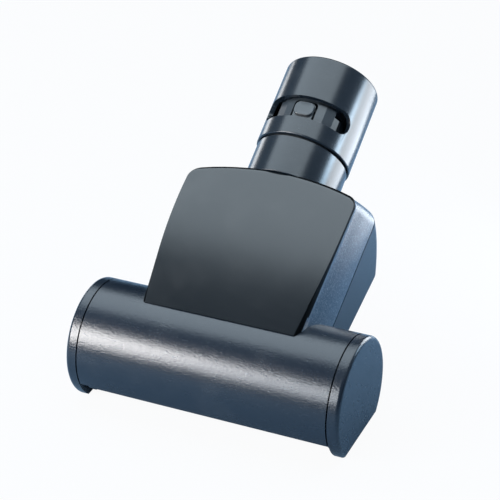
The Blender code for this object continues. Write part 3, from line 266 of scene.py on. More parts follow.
def makeGrainGroup():
    # fine spark-eroded grain of a moulding, with a slow drift of sheen over it, and light specks painted into its
    # colour in place of the grain's glints: painted sparkle
    group, given, out = newGroup(
        "mouldedGrain",
        {"Place": ("Vector", None), "Grain Size": ("Float", 0.0004), "Colour": ("Color", (0.03, 0.035, 0.04, 1)),
         "Painted Glint": ("Float", 0.3), "Painted Glint Start": ("Float", 0.56), "Roughness": ("Float", 0.35),
         "Sheen Drift": ("Float", 0.05)},
        {"Colour": "Color", "Roughness": "Float", "Height": "Float"})
    place = given["Place"]
    scale = calculate(group, "DIVIDE", 1, given["Grain Size"])
    fine = addNode(group, "TexNoise", {"Vector": place, "Scale": scale, "Detail": grainLook["detail"],
                                       "Roughness": grainLook["crispness"]}).outputs["Fac"]
    pits = addNode(group, "TexVoronoi", {"Vector": place, "Scale": scale}).outputs["Distance"]
    slow = addNode(group, "TexNoise", {"Vector": place, "Scale": grainLook["driftScale"],
                                       "Detail": grainLook["driftDetail"]}).outputs["Fac"]
    height = calculate(group, "MULTIPLY_ADD", pits, grainLook["pitDepth"], fine)
    drift = calculate(group, "SUBTRACT", slow, 0.5)
    rough = calculate(group, "MULTIPLY_ADD", drift, given["Sheen Drift"], given["Roughness"])
    # painted sparkle: where the fine noise peaks, a bluish white is mixed into the colour to stand for glints of light
    spark = remap(group, fine, given["Painted Glint Start"], grainLook["paintedGlintEnd"])
    amount = calculate(group, "MULTIPLY", spark, given["Painted Glint"])
    group.links.new(height, out["Height"])
    group.links.new(rough, out["Roughness"])
    group.links.new(mixColours(group, amount, given["Colour"], grainLook["paintedGlintColour"]), out["Colour"])
    return group


wearLook = {"stretch": (1, 6, 6), "slant": (0.2, 0.1, 0.5), "scuffDetail": 6, "scuffs": (0.60, 0.78), "dustScale": 60,
            "dustDetail": 8, "dust": (0.52, 0.80), "dustColour": (0.22, 0.22, 0.22, 1), "dustShare": 0.10,
            "scuffRoughness": 0.10}


def makeWearGroup():
    # thin scuffs and a little dust, as masks
    group, given, out = newGroup(
        "lightWear",
        {"Place": ("Vector", None), "Scuff Size": ("Float", 0.012), "Amount": ("Float", 0.5)},
        {"Scuffs": "Float", "Dust": "Float"})
    scale = calculate(group, "DIVIDE", 1, given["Scuff Size"])
    drawn = addNode(group, "Mapping", {"Vector": given["Place"], "Scale": wearLook["stretch"],
                                       "Rotation": wearLook["slant"]}).outputs[0]
    streak = addNode(group, "TexNoise", {"Vector": drawn, "Scale": scale, "Detail": wearLook["scuffDetail"]})
    cloud = addNode(group, "TexNoise", {"Vector": given["Place"], "Scale": wearLook["dustScale"],
                                        "Detail": wearLook["dustDetail"]})
    for title, noise, span in (("Scuffs", streak, wearLook["scuffs"]), ("Dust", cloud, wearLook["dust"])):
        mask = remap(group, noise.outputs["Fac"], *span)
        group.links.new(calculate(group, "MULTIPLY", mask, given["Amount"]), out[title])
    return group


grainGroup = makeGrainGroup()
wearGroup = makeWearGroup()


def mouldedFinish(name, look):
    # look: colour, grain size, painted glint specks, roughness, drift of sheen, bump and its depth in grains, wear
    material = bpy.data.materials.new(name)
    material.use_nodes = True
    tree = material.node_tree
    shader = tree.nodes["Principled BSDF"]
    where = addNode(tree, "TexCoord").outputs["Object"]
    drawn = addNode(tree, "Mapping", {"Vector": where, "Scale": (look.get("along", 1), 1, 1)}).outputs[0]
    grain = addNode(tree, "Group", node_tree=grainGroup, values={
        "Place": drawn, "Grain Size": look["grain"], "Colour": (*look["colour"], 1), "Painted Glint": look["paintedGlint"],
        "Painted Glint Start": look.get("paintedGlintStart", 0.56), "Roughness": look["roughness"],
        "Sheen Drift": look["drift"]}).outputs
    wear = addNode(tree, "Group", {"Place": where, "Amount": look["wear"]}, node_tree=wearGroup).outputs
    dust = calculate(tree, "MULTIPLY", wear["Dust"], wearLook["dustShare"])
    dusty = mixColours(tree, dust, grain["Colour"], wearLook["dustColour"])
    rough = calculate(tree, "MULTIPLY_ADD", wear["Scuffs"], wearLook["scuffRoughness"], grain["Roughness"])
    bump = addNode(tree, "Bump", {"Strength": look["bump"], "Distance": look["grain"] * look.get("depth", 0.03),
                                  "Height": grain["Height"]})
    tree.links.new(dusty, shader.inputs["Base Color"])
    tree.links.new(rough, shader.inputs["Roughness"])
    tree.links.new(bump.outputs[0], shader.inputs["Normal"])
    shader.inputs["Metallic"].default_value = look.get("metallic", 0)
    shader.inputs["Specular IOR Level"].default_value = look.get("gloss", 0.5)
    return material


# paintedGlint sets how much painted sparkle each finish carries in its colour
finishes = {
    "shell": {"colour": (0.005, 0.010, 0.018), "grain": 0.00062, "paintedGlint": 0.05, "roughness": 0.26, "drift": 0.06,
              "bump": 1.0, "depth": 0.09, "wear": 0.5, "gloss": 0.62, "along": 0.50},
    # edge: a near-black, almost unreflecting copy of the shell for the rounded rim round the panel: painted shade in
    # place of the dark reflection on that rim
    "edge": {"colour": (0.002, 0.0025, 0.003), "grain": 0.00045, "paintedGlint": 0.0, "roughness": 0.50, "drift": 0.04,
             "bump": 0.2, "wear": 0.1, "gloss": 0.02},
    # side: a lighter, bluer copy of the shell with heavy painted glints for the side walls: painted reflection of the
    # cool light and floor, over the real grain
    "side": {"colour": (0.018, 0.042, 0.074), "grain": 0.00052, "paintedGlint": 1.0, "paintedGlintStart": 0.47, "roughness": 0.30,
             "drift": 0.05, "bump": 1.0, "depth": 0.13, "wear": 0.4, "gloss": 0.58},
    # belly: a darker, duller copy of the shell for the whole lower cover: painted shade of the lower body
    "belly": {"colour": (0.002, 0.005, 0.010), "grain": 0.00070, "paintedGlint": 0.25, "roughness": 0.32, "drift": 0.05,
              "bump": 1.0, "depth": 0.09, "wear": 0.4, "gloss": 0.28},
    "panel": {"colour": (0.005, 0.007, 0.009), "grain": 0.00045, "paintedGlint": 0.02, "roughness": 0.22, "drift": 0.04,
              "bump": 0.35, "wear": 0.4, "gloss": 0.62, "along": 0.45},
    "neck": {"colour": (0.005, 0.009, 0.014), "grain": 0.00045, "paintedGlint": 0.06, "roughness": 0.24, "drift": 0.04,
             "bump": 0.3, "wear": 0.4, "gloss": 0.62, "along": 0.30},
    "insert": {"colour": (0.020, 0.026, 0.032), "grain": 0.00030, "paintedGlint": 0.04, "roughness": 0.31, "drift": 0.06,
               "bump": 0.12, "wear": 0.4, "gloss": 0.70},
    "nylon": {"colour": (0.60, 0.58, 0.52), "grain": 0.00050, "paintedGlint": 0.0, "roughness": 0.45, "drift": 0.08,
              "bump": 0.08, "wear": 0.8},
    "rubber": {"colour": (0.016, 0.016, 0.017), "grain": 0.00060, "paintedGlint": 0.05, "roughness": 0.72, "drift": 0.10,
               "bump": 0.25, "wear": 0.8},
    "fibre": {"colour": (0.030, 0.033, 0.038), "grain": 0.00025, "paintedGlint": 0.12, "roughness": 0.50, "drift": 0.08,
              "bump": 0.20, "wear": 0.6},
    "steel": {"colour": (0.60, 0.61, 0.63), "grain": 0.00020, "paintedGlint": 0.0, "roughness": 0.28, "drift": 0.10,
              "bump": 0.08, "wear": 0.7, "metallic": 1.0},
    "bronze": {"colour": (0.42, 0.26, 0.12), "grain": 0.00030, "paintedGlint": 0.0, "roughness": 0.42, "drift": 0.10,
               "bump": 0.15, "wear": 0.7, "metallic": 1.0},
}
finish = {name: mouldedFinish(name, look) for name, look in finishes.items()}
print("turbo brush: finishes ready")


# Body outlines: front across, right side with its rear corner, rear across, left side
body = {"front": 0.0097, "gridSteps": 24, "wall": 0.0022, "headRadius": 0.0255, "headHalf": 0.05655, "chamber": 0.0233,
        "parting": 0.0040, "gap": 0.0003, "crown": 0.0017, "frontEdge": -0.0102, "bellyDepth": 0.0109,
        "bellyAngle": math.radians(11.3), "bellyRound": 0.0050, "rearRadius": 0.042, "sideTaper": 0.06,
        "seam": 0.00030, "edge": 0.00018}
rails = {
    "parting": {"level": 0.0040, "front": 0.0405, "rear": 0.0423, "bow": 0.0, "corner": 0.0817, "bulge": 0.0055, "radius": 0.0080},
    "shoulder": {"level": 0.0195, "front": 0.0360, "rear": 0.0382, "bow": 0.0, "corner": 0.0777, "bulge": 0.0060, "radius": 0.0060},
    "panel": {"level": 0.0240, "front": 0.0332, "rear": 0.0384, "bow": 0.0016, "corner": 0.0741, "bulge": 0.0062, "radius": 0.0036},
}


def mixRails(first, second, share):
    return {key: first[key] + (second[key] - first[key]) * share for key in first}


def bodyOutline(rail, inset=0.0, front=None):
    # a closed ring of points (x, t) that starts at the front left corner and runs to the right
    steps = body["gridSteps"]
    start = body["front"] if front is None else front
    near, far, corner = rail["front"] - inset, rail["rear"] - inset, rail["corner"] - inset
    bulge, radius = rail["bulge"], max(rail["radius"] - inset, 0.001)

    def sideX(t):
        share = (t - body["front"]) / (corner - body["front"])
        return near + (far - near) * share + rail["bow"] * 4 * share * (1 - share)

    def rearT(x):
        return corner + bulge * (1 - (x / far) ** 2)

    # the rounded rear corner, from the side to the rear edge
    sideDirection = Vector((sideX(corner) - sideX(corner - 0.01), 0.01)).normalized()
    rearDirection = Vector((-0.01, rearT(far - 0.01) - rearT(far))).normalized()
    half = (-sideDirection).angle(rearDirection) / 2
    corner2 = Vector((far, corner))
    centre = corner2 + (rearDirection - sideDirection).normalized() * radius / math.sin(half)
    reach = radius / math.tan(half)
    first, last = corner2 - sideDirection * reach, corner2 + rearDirection * reach
    startAngle = math.atan2(first.y - centre.y, first.x - centre.x)
    endAngle = math.atan2(last.y - centre.y, last.x - centre.x)
    turn = 5
    arc = [centre + Vector((math.cos(a), math.sin(a))) * radius
           for a in [startAngle + (endAngle - startAngle) * i / (2 * turn) for i in range(2 * turn + 1)]]
    side = [Vector((sideX(start + (first.y - start) * i / (steps - turn)), start + (first.y - start) * i / (steps - turn)))
            for i in range(steps - turn)]
    right = side + arc[:turn]
    rearHalf = [Vector((last.x * (1 - i / (steps / 2 - turn)), 0)) for i in range(1, steps // 2 - turn + 1)]
    for point in rearHalf:
        point.y = rearT(point.x)
    rear = arc[turn:] + rearHalf
    across = [Vector((-near + 2 * near * i / steps, start)) for i in range(steps)]
    across = [Vector((point.x * sideX(start) / near, start)) for point in across]
    rightHalf = right + rear
    leftHalf = [Vector((-point.x, point.y)) for point in reversed(rightHalf[1:-1])]
    return across + rightHalf + leftHalf


def crownAt(t, rail):
    length = rail["corner"] + rail["bulge"] - body["front"]
    share = min(max((t - body["front"]) / length, 0), 1)
    return 4 * share * (1 - share)


def ringOf(rail, level, inset=0.0, crown=0.0, front=None):
    return [Vector((p.x, p.y, level + crown * crownAt(p.y, rail))) for p in bodyOutline(rail, inset, front)]


def drapedForm(name, rings):
    # a grid primitive takes the first ring as its rim, and the rim is drawn out through the others
    steps = body["gridSteps"]
    selectOnly()
    bpy.ops.mesh.primitive_grid_add(x_subdivisions=steps, y_subdivisions=steps, size=2)
    piece = bpy.context.active_object
    piece.name = name
    editPiece(piece)
    mesh = bmesh.from_edit_mesh(piece.data)
    rim = rings[0]
    order = {}
    for vert in mesh.verts:
        i, j = round((vert.co.x + 1) / 2 * steps), round((vert.co.y + 1) / 2 * steps)
        u, v = i / steps, j / steps
        front, rear = rim[i], rim[(3 * steps - i) % (4 * steps)]
        right, left = rim[steps + j], rim[(4 * steps - j) % (4 * steps)]
        corners = (rim[0] * (1 - u) * (1 - v) + rim[steps] * u * (1 - v) + rim[2 * steps] * u * v + rim[3 * steps] * (1 - u) * v)
        vert.co = front * (1 - v) + rear * v + left * (1 - u) + right * u - corners
        if i in (0, steps) or j in (0, steps):
            place = i if j == 0 else steps + j if i == steps else 3 * steps - i if j == steps else 4 * steps - j
            order[vert.index] = place % (4 * steps)
    bmesh.update_edit_mesh(piece.data)
    pick("edges", lambda edge: edge.is_boundary)
    for ring in rings[1:]:
        bpy.ops.mesh.extrude_region_move(TRANSFORM_OT_translate={"value": (0, 0, -0.001)})
        mesh = bmesh.from_edit_mesh(piece.data)
        mesh.verts.index_update()
        fresh = {}
        for vert in mesh.verts:
            if vert.select:
                below = [edge.other_vert(vert) for edge in vert.link_edges if not edge.other_vert(vert).select][0]
                fresh[vert.index] = order[below.index]
        for vert in mesh.verts:
            if vert.select:
                vert.co = ring[fresh[vert.index]]
        order.update(fresh)
        bmesh.update_edit_mesh(piece.data)
    bpy.ops.mesh.edge_face_add()
    bpy.ops.object.mode_set(mode="OBJECT")
    cleanMesh(piece)
    return piece


def topForm(name, inset):
    rings = []
    panel, shoulder, parting = rails["panel"], rails["shoulder"], rails["parting"]
    for i in range(9):
        # a quarter of an ellipse from the panel's rim down to the shoulder
        share = math.cos(math.pi / 2 * i / 8)
        level = shoulder["level"] + (panel["level"] - shoulder["level"]) * share - inset
        rail = mixRails(shoulder, panel, 1 - math.sqrt(max(1 - share ** 2, 0)))
        rings.append(ringOf(rail, level, inset, body["crown"] * share))
    for i in range(1, 6):
        share = i / 5
        rail = mixRails(shoulder, parting, share)
        swell = 0.0005 * 4 * share * (1 - share)
        rail["front"] += swell
        rail["rear"] += swell
        rings.append(ringOf(rail, rail["level"], inset))
    rings.append(ringOf(parting, parting["level"] - (0.002 if inset else 0.001), inset))
    return drapedForm(name, rings)


def bottomForm(name, inset):
    parting = rails["parting"]
    rings = [ringOf(parting, parting["level"] + (0.002 if inset else 0.001), inset)]
    for i in range(0, 15):
        depth = 0.042 * i / 14
        rail = dict(parting)
        rail["front"] -= body["sideTaper"] * depth
        rail["rear"] -= body["sideTaper"] * depth
        rail["corner"] -= depth ** 2 / (2 * body["rearRadius"])
        rings.append(ringOf(rail, parting["level"] - depth, inset))
    piece = drapedForm(name, rings)
    # the belly is a sloping cut, rounded all round
    editPiece(piece)
    bpy.ops.mesh.select_all(action="SELECT")
    down = Vector((0, -math.sin(body["bellyAngle"]), -math.cos(body["bellyAngle"])))
    spot = Vector((0, 0, -body["bellyDepth"])) - down * inset
    bpy.ops.mesh.bisect(plane_co=spot, plane_no=down, use_fill=True, clear_outer=True)
    bpy.ops.mesh.select_mode(type="EDGE")
    pick("edges", lambda edge: all(abs((vert.co - spot).dot(down)) < 1e-6 for vert in edge.verts))
    bpy.ops.mesh.bevel(offset=body["bellyRound"] - inset / 2, segments=7, profile=0.5, affect="EDGES", clamp_overlap=True)
    bpy.ops.object.mode_set(mode="OBJECT")
    cleanMesh(piece)
    return piece


def headBarrel(name, radius, half, steps=176):
    return barrel(name, radius, -half, half, steps)


screwPlaces = {"front_left": (-0.0250, 0.0292), "front_right": (0.0250, 0.0292),
               "rear_left": (-0.0310, 0.0670), "rear_right": (0.0310, 0.0670)}
shell = {"half": 0.05655, "bossWall": 0.0013, "screwRadius": 0.0015, "screwHead": 0.0029, "screwSeat": -0.0060,
         "screwPoint": 0.0150, "turbineAt": 0.048169, "bearingRadius": 0.0045, "ribAt": 0.0270, "beltAt": 0.0330,
         "beltHalf": 0.0041, "ribLength": 0.0150, "ribWidth": 0.0020, "nozzleHalf": 0.0170}


def neckHoles():
    waist = barrel("waistHole", 0.0175, 0.070, 0.0822, 96, about="Y", centre=(0, lay["neckLevel"]))
    outlet = barrel("neckOutlet", 0.0211, 0.0817, 0.104, 128, about="Y", centre=(0, lay["neckLevel"]))
    return waist, outlet


def hollowOf(hollow, bossRadius, low, high, ribFrom):
    # partition, neck rib, bearing ribs and screw bosses stay standing in the hollow
    gap = body["gap"]
    keep = [headBarrel("partition", body["headRadius"], 0.057, 96),
            block("neckRib", (-0.1, 0.0770, -0.1), (0.1, 0.0790, 0.1))]
    for side in (-1, 1):
        middle = side * shell["ribAt"]
        keep.append(block("bearingRib", (middle - shell["ribWidth"] / 2, shell["turbineAt"] - shell["ribLength"] / 2, ribFrom[0]),
                          (middle + shell["ribWidth"] / 2, shell["turbineAt"] + shell["ribLength"] / 2, ribFrom[1])))
    for x, t in screwPlaces.values():
        keep.append(barrel("boss", bossRadius + gap + shell["bossWall"], low, high, 32, about="Z", centre=(x, t)))
    return carve(hollow, *keep)


def makeUpperShell():
    gap = body["gap"]
    piece = headBarrel("upperCover", body["headRadius"], shell["half"] - gap)
    carve(piece, topForm("bodyTop", 0), operation="UNION")
    hollow = hollowOf(topForm("bodyTopHollow", body["wall"]), shell["screwRadius"], -0.01, 0.1,
                      (shell["bearingRadius"] + gap, 0.1))
    carve(piece, hollow, headBarrel("chamber", body["chamber"], 0.1))
    level = body["parting"] + body["seam"]
    under = block("underParting", (-0.2, -0.2, -0.2), (0.2, 0.2, 0.0))
    applyPlace(under, Matrix.Translation((0, 0, level)))
    # in front of the axis the cover runs lower, down to its front edge
    frontKeep = block("frontKeep", (-0.3, -0.2, body["frontEdge"]), (0.3, -0.75 * body["headRadius"], 0.3))
    applyPlace(frontKeep, Matrix.Rotation(-lay["tilt"], 4, "X"))
    carve(under, frontKeep)
    notch = block("coverNotch", (-0.2, -0.2, -0.2), (-body["headHalf"] + 0.0040, -0.019, body["frontEdge"] + 0.0010))
    applyPlace(notch, Matrix.Rotation(-lay["tilt"], 4, "X"))
    slot = block("beltSlot", (shell["beltAt"] - shell["beltHalf"], 0.014, 0), (shell["beltAt"] + shell["beltHalf"], 0.0285, 0.0115))
    carve(piece, under, notch, slot, *neckHoles())
    for x, t in screwPlaces.values():
        carve(piece, barrel("screwHole", shell["screwRadius"] + gap, 0, shell["screwPoint"] + gap, 20, about="Z", centre=(x, t)))
    return piece


def makeLowerShell():
    gap = body["gap"]
    piece = headBarrel("lowerCover", body["headRadius"], shell["half"] - gap)
    carve(piece, bottomForm("bodyBottom", 0), operation="UNION")
    hollow = hollowOf(bottomForm("bodyBottomHollow", body["wall"]), shell["screwHead"], -0.1, 0.01, (-0.1, 0.1))
    carve(piece, hollow, headBarrel("chamber", body["chamber"], 0.1))
    above = block("aboveParting", (-0.2, -0.2, body["parting"] - body["seam"]), (0.2, 0.2, 0.2))
    unturn = Matrix.Rotation(-lay["tilt"], 4, "X")
    below = applyPlace(block("belowSole", (-0.2, -0.2, -0.2), (0.2, 0.2, -lay["axisZ"])), unturn)
    mouth = applyPlace(block("mouth", (-0.2, -0.2, -0.2), (0.2, 0.00675, 0.0265)), unturn)
    slot = block("beltSlot", (shell["beltAt"] - shell["beltHalf"], 0.014, -0.0115), (shell["beltAt"] + shell["beltHalf"], 0.0285, 0.01))
    port = block("nozzlePort", (-shell["nozzleHalf"], 0.014, -0.0135), (shell["nozzleHalf"], 0.0285, -0.0045))
    reach = shell["bearingRadius"] + gap
    saddle = block("saddle", (-0.031, shell["turbineAt"] - reach, 0), (0.031, shell["turbineAt"] + reach, 0.1))
    seat = barrel("seat", reach, -0.031, 0.031, 48, centre=(shell["turbineAt"], 0))
    carve(piece, slot, port, saddle, seat, *neckHoles(), above, below, mouth)
    for x, t in screwPlaces.values():
        carve(piece, barrel("screwHole", shell["screwRadius"] + gap, shell["screwSeat"] - 0.001, 0.015, 20, about="Z", centre=(x, t)),
              barrel("screwRecess", shell["screwHead"] + gap, -0.1, shell["screwSeat"], 32, about="Z", centre=(x, t)))
    return piece


def shadeCover(piece):
    # smooth top panel, black rounded edge round it painted as shade, grained side walls painted lighter and bluer as a
    # reflection
    for name in ("panel", "side", "edge"):
        piece.data.materials.append(finish[name])
    tilt = Matrix.Rotation(-lay["tilt"], 3, "X")
    unplace = bodyPlace.inverted()
    for face in piece.data.polygons:
        middle, normal = unplace @ face.center, tilt @ face.normal
        if math.hypot(middle.y, middle.z) < body["headRadius"] + 0.00005 or middle.y < body["front"] - 0.0002:
            continue
        if normal.z > 0.90 and middle.z > 0.0236:
            face.material_index = 1
        elif middle.z > 0.02195:
            # the rounded rim round the panel takes the near-black edge finish: painted shade
            face.material_index = 3
        else:
            # the side walls take the lighter, bluer side finish: painted reflection
            face.material_index = 2


upperCover = makeUpperShell()
cleanMesh(upperCover)
print("turbo brush: upper cover cut")
lowerCover = makeLowerShell()
cleanMesh(lowerCover)
print("turbo brush: lower cover cut")
for cover, node in ((upperCover, "upper_shell"), (lowerCover, "lower_shell")):
    softEdges(cover, body["edge"], 2, 40)
    applyPlace(cover, bodyPlace)
    # the lower cover takes the darker, duller belly finish: painted shade
    finishPiece(cover, "housing", finish["shell" if node == "upper_shell" else "belly"], [node], angle=28)
shadeCover(upperCover)
print("turbo brush: covers done")


# End caps: a disc with a large soft edge, a lip into the cover and a boss for the roller bush
cap = {"joint": 0.05685, "outer": 0.06175, "radius": 0.0255, "edge": 0.0018, "lip": 0.0030, "lipWall": 0.0016,
       "floor": 0.0022, "bossRadius": 0.0066, "bushRadius": 0.0048, "bushWidth": 0.0042, "sole": 0.0190}


def makeCap(name, side):
    selectOnly()
    piece = barrel(name, cap["radius"], cap["joint"], cap["outer"], 176)
    sole = block("capSole", (-0.2, -0.2, -0.2), (0.2, 0.2, -cap["sole"]))
    carve(piece, sole)
    editPiece(piece, "EDGE")
    pick("edges", lambda edge: all(vert.co.x > cap["outer"] - 1e-6 for vert in edge.verts))
    bpy.ops.mesh.bevel(offset=cap["edge"], segments=8, profile=0.5, affect="EDGES")
    bpy.ops.object.mode_set(mode="OBJECT")
    lipRadius = body["chamber"] - body["gap"]
    lip = barrel("capLip", lipRadius, cap["joint"] - cap["lip"], cap["joint"] + 0.001, 144)
    carve(lip, block("lipFloor", (-0.2, -0.2, -0.2), (0.2, 0.2, 0.0018 - cap["sole"])))
    carve(piece, lip, operation="UNION")
    pocket = barrel("capPocket", lipRadius - cap["lipWall"], cap["joint"] - 0.02, cap["outer"] - cap["floor"], 144)
    carve(pocket, block("pocketFloor", (-0.2, -0.2, -0.2), (0.2, 0.2, cap["floor"] - cap["sole"])))
    carve(piece, pocket)
    inside = cap["outer"] - cap["floor"]
    bossStart = inside - cap["bushWidth"] + body["gap"]
    carve(piece, barrel("capBoss", cap["bossRadius"], bossStart, inside + 0.001, 64), operation="UNION")
    carve(piece, barrel("capSeat", cap["bushRadius"] + body["gap"], bossStart - 0.001, inside - body["gap"] / 2, 48))
    cleanMesh(piece)
    softEdges(piece, 0.00022, 2, 40)
    if side < 0:
        applyPlace(piece, Matrix.Scale(-1, 4, (1, 0, 0)))
        cleanMesh(piece)
    applyPlace(piece, headPlace)
    return finishPiece(piece, "housing", finish["shell"],
                       ["left_end_cap" if side < 0 else "right_end_cap"], angle=28)


makeCap("leftCap", -1)
makeCap("rightCap", 1)
print("turbo brush: end caps done")


# Neck: clamped tube, seal, turning sleeve with its window, hose socket
neck = {"radius": 0.0208, "bore": 0.0155, "waist": 0.0172, "flange": 0.0196, "spigot": 0.0180, "spigotEnd": 0.0066,
        "sleeve": 0.0215, "sleeveEnd": 0.04115, "sleeveBore": 0.0193, "mouth": 0.0179, "lip": 0.0183, "steps": 160,
        "windowLow": 0.00885, "windowHeight": 0.01075, "windowAngle": math.radians(63.5)}


def makeNeckTube():
    profile = [(neck["bore"], -0.02655), (neck["flange"], -0.02655), (neck["flange"], -0.02435), (neck["waist"], -0.02435),
               (neck["waist"], -0.01905), (neck["radius"], -0.01905), (neck["radius"], -0.0010), (neck["spigot"], -0.0010),
               (neck["spigot"], 0.0029), (0.0168, 0.0029), (0.0168, 0.0050), (neck["spigot"], 0.0050),
               (neck["spigot"], neck["spigotEnd"]), (neck["bore"], neck["spigotEnd"])]
    piece = softEdges(spun("neckTube", profile, neck["steps"]), 0.00025, 3, 40)
    carve(piece, block("flangeFlat", (-0.1, -0.1, -0.04), (0.1, -0.0172, -0.01965)))
    applyPlace(piece, neckPlace)
    return finishPiece(piece, "housing", finish["neck"], ["neck_tube"])


def makeSeal():
    profile = [(0.0183, -0.00085), (0.0200, -0.00085), (0.0200, -0.00015), (0.0183, -0.00015)]
    piece = spun("neckSeal", profile, 120)
    softEdges(piece, 0.00015, 2, 40)
    applyPlace(piece, neckPlace)
    return finishPiece(piece, "housing", finish["rubber"], ["swivel_seal"])


def windowCutter():
    # a bar bent round the neck, drawn in to a half round at both ends
    low, high = neck["windowLow"], neck["windowLow"] + neck["windowHeight"]
    selectOnly()
    bpy.ops.mesh.primitive_plane_add(size=1, location=(0, 0, 0))
    cutter = bpy.context.active_object
    cutter.name = "windowBar"
    editPiece(cutter)
    mesh = bmesh.from_edit_mesh(cutter.data)
    start = -neck["windowAngle"]
    for vert, (radius, height) in zip(mesh.verts, ((0.0165, low), (0.0240, low), (0.0165, high), (0.0240, high))):
        vert.co = (radius * math.sin(start), -radius * math.cos(start), height)
    bmesh.update_edit_mesh(cutter.data)
    bpy.ops.mesh.select_all(action="SELECT")
    bpy.ops.mesh.spin(steps=80, angle=2 * neck["windowAngle"], center=(0, 0, 0), axis=(0, 0, -1))
    mesh = bmesh.from_edit_mesh(cutter.data)
    middle, round = (low + high) / 2, neck["windowHeight"] / 2
    straight = neck["windowAngle"] * neck["sleeve"] - round
    for vert in mesh.verts:
        radius, angle = math.hypot(vert.co.x, vert.co.y), math.atan2(vert.co.x, -vert.co.y)
        share = abs(angle) / neck["windowAngle"]
        turn = max(share - 0.5, 0) / 0.5 * math.radians(88.5)
        arc = straight * min(share / 0.5, 1) + round * math.sin(turn)
        angle = math.copysign(arc / neck["sleeve"], angle)
        height = middle + math.copysign(round * math.cos(turn), vert.co.z - middle)
        vert.co = (radius * math.sin(angle), -radius * math.cos(angle), height)
    bmesh.update_edit_mesh(cutter.data)
    bpy.ops.object.mode_set(mode="OBJECT")
    cleanMesh(cutter)
    return cutter


def makeSleeve():
    end, outer = neck["sleeveEnd"], neck["sleeve"]
    profile = [(neck["lip"], 0), (outer - 0.0004, 0), (outer, 0.0004)]
    profile += arcPoints((outer - 0.0015, end - 0.0015), 0.0015, 0, math.pi / 2, 8)
    profile += [(neck["mouth"], end), (neck["mouth"], end - 0.0026), (neck["sleeveBore"], end - 0.0026),
                (neck["sleeveBore"], 0.0026), (neck["lip"], 0.0026)]
    piece = softEdges(spun("neckSleeve", profile, neck["steps"]), 0.00020, 3, 40)
    carve(piece, windowCutter())
    cleanMesh(piece)
    softEdges(piece, 0.00014, 2, 50, False)
    applyPlace(piece, neckPlace)
    return finishPiece(piece, "sleeve", finish["neck"], ["swivel_sleeve"])


def makeLiner():
    profile = [(0.0140, 0.0069), (0.0190, 0.0069), (0.0190, 0.0077), (0.0156, 0.0077), (0.0156, 0.0209), (0.0190, 0.0209),
               (0.0190, 0.03825), (0.0176, 0.03825), (0.0176, 0.0222), (0.0140, 0.0222)]
    piece = softEdges(spun("hoseSocket", profile, 128), 0.00022, 3, 40)
    # the port lies to the right of the latch, 24 to 62 degrees round
    port = spun("airPort", [(0.0130, 0.0098), (0.0166, 0.0098), (0.0166, 0.0186), (0.0130, 0.0186)], 24, angle=math.radians(38))
    spread = [math.degrees(math.atan2(vert.co.x, -vert.co.y)) for vert in port.data.vertices]
    applyPlace(port, Matrix.Rotation(math.radians(24 - min(spread)), 4, "Z"))
    carve(piece, port)
    cleanMesh(piece)
    applyPlace(piece, neckPlace)
    return finishPiece(piece, "sleeve", finish["insert"], ["socket_liner"])


# Air regulator: a faceted slide behind the window, and the thumb latch in it
regulator = {"half": 42.5, "facets": 6, "inner": 0.0164, "rim": 0.0180, "face": 0.0190, "low": 0.0080, "high": 0.0206,
             "faceLow": 0.0081, "faceTop": 0.0187, "latchHalf": 0.0046, "slot": 0.0009, "latchTop": 0.0180,
             "latchLow": 0.0083, "corner": 0.0018, "pivotDepth": 0.0176, "pivot": 0.0090, "pivotRadius": 0.0005,
             "pivotLength": 0.0012, "back": 0.0172, "front": 0.0185, "padHeight": 0.0070, "padCorner": 0.0026,
             "padRise": 0.0011, "padInset": 0.0002}


def facetBar(name, inner, outer, low, high):
    # a faceted arc outline in X and Y, drawn up along Z
    spots = [(-regulator["half"] + 2 * regulator["half"] * i / regulator["facets"]) for i in range(regulator["facets"] + 1)]
    outline = [(radius * math.sin(math.radians(a)), -radius * math.cos(math.radians(a)))
               for radius, angles in ((outer, spots), (inner, spots[::-1])) for a in angles]
    selectOnly()
    bpy.ops.mesh.primitive_circle_add(vertices=len(outline), radius=0.01, fill_type="NGON")
    piece = bpy.context.active_object
    piece.name = name
    editPiece(piece)
    mesh = bmesh.from_edit_mesh(piece.data)
    mesh.verts.ensure_lookup_table()
    for i, (x, y) in enumerate(outline):
        mesh.verts[i].co = (x, y, low)
    bmesh.update_edit_mesh(piece.data)
    bpy.ops.mesh.select_all(action="SELECT")
    bpy.ops.mesh.extrude_region_move(TRANSFORM_OT_translate={"value": (0, 0, high - low)})
    bpy.ops.object.mode_set(mode="OBJECT")
    cleanMesh(piece)
    return piece


def roundedPlate(half, top, bottom, corner, lowCorner=0.0):
    outline = arcPoints((half - corner, top - corner), corner, 0, math.pi / 2, 8)
    outline += arcPoints((corner - half, top - corner), corner, math.pi / 2, math.pi, 8)
    if lowCorner:
        outline += arcPoints((lowCorner - half, bottom + lowCorner), lowCorner, math.pi, 1.5 * math.pi, 8)
        outline += arcPoints((half - lowCorner, bottom + lowCorner), lowCorner, 1.5 * math.pi, math.tau, 8)
    else:
        outline += [(-half, bottom), (half, bottom)]
    return outline


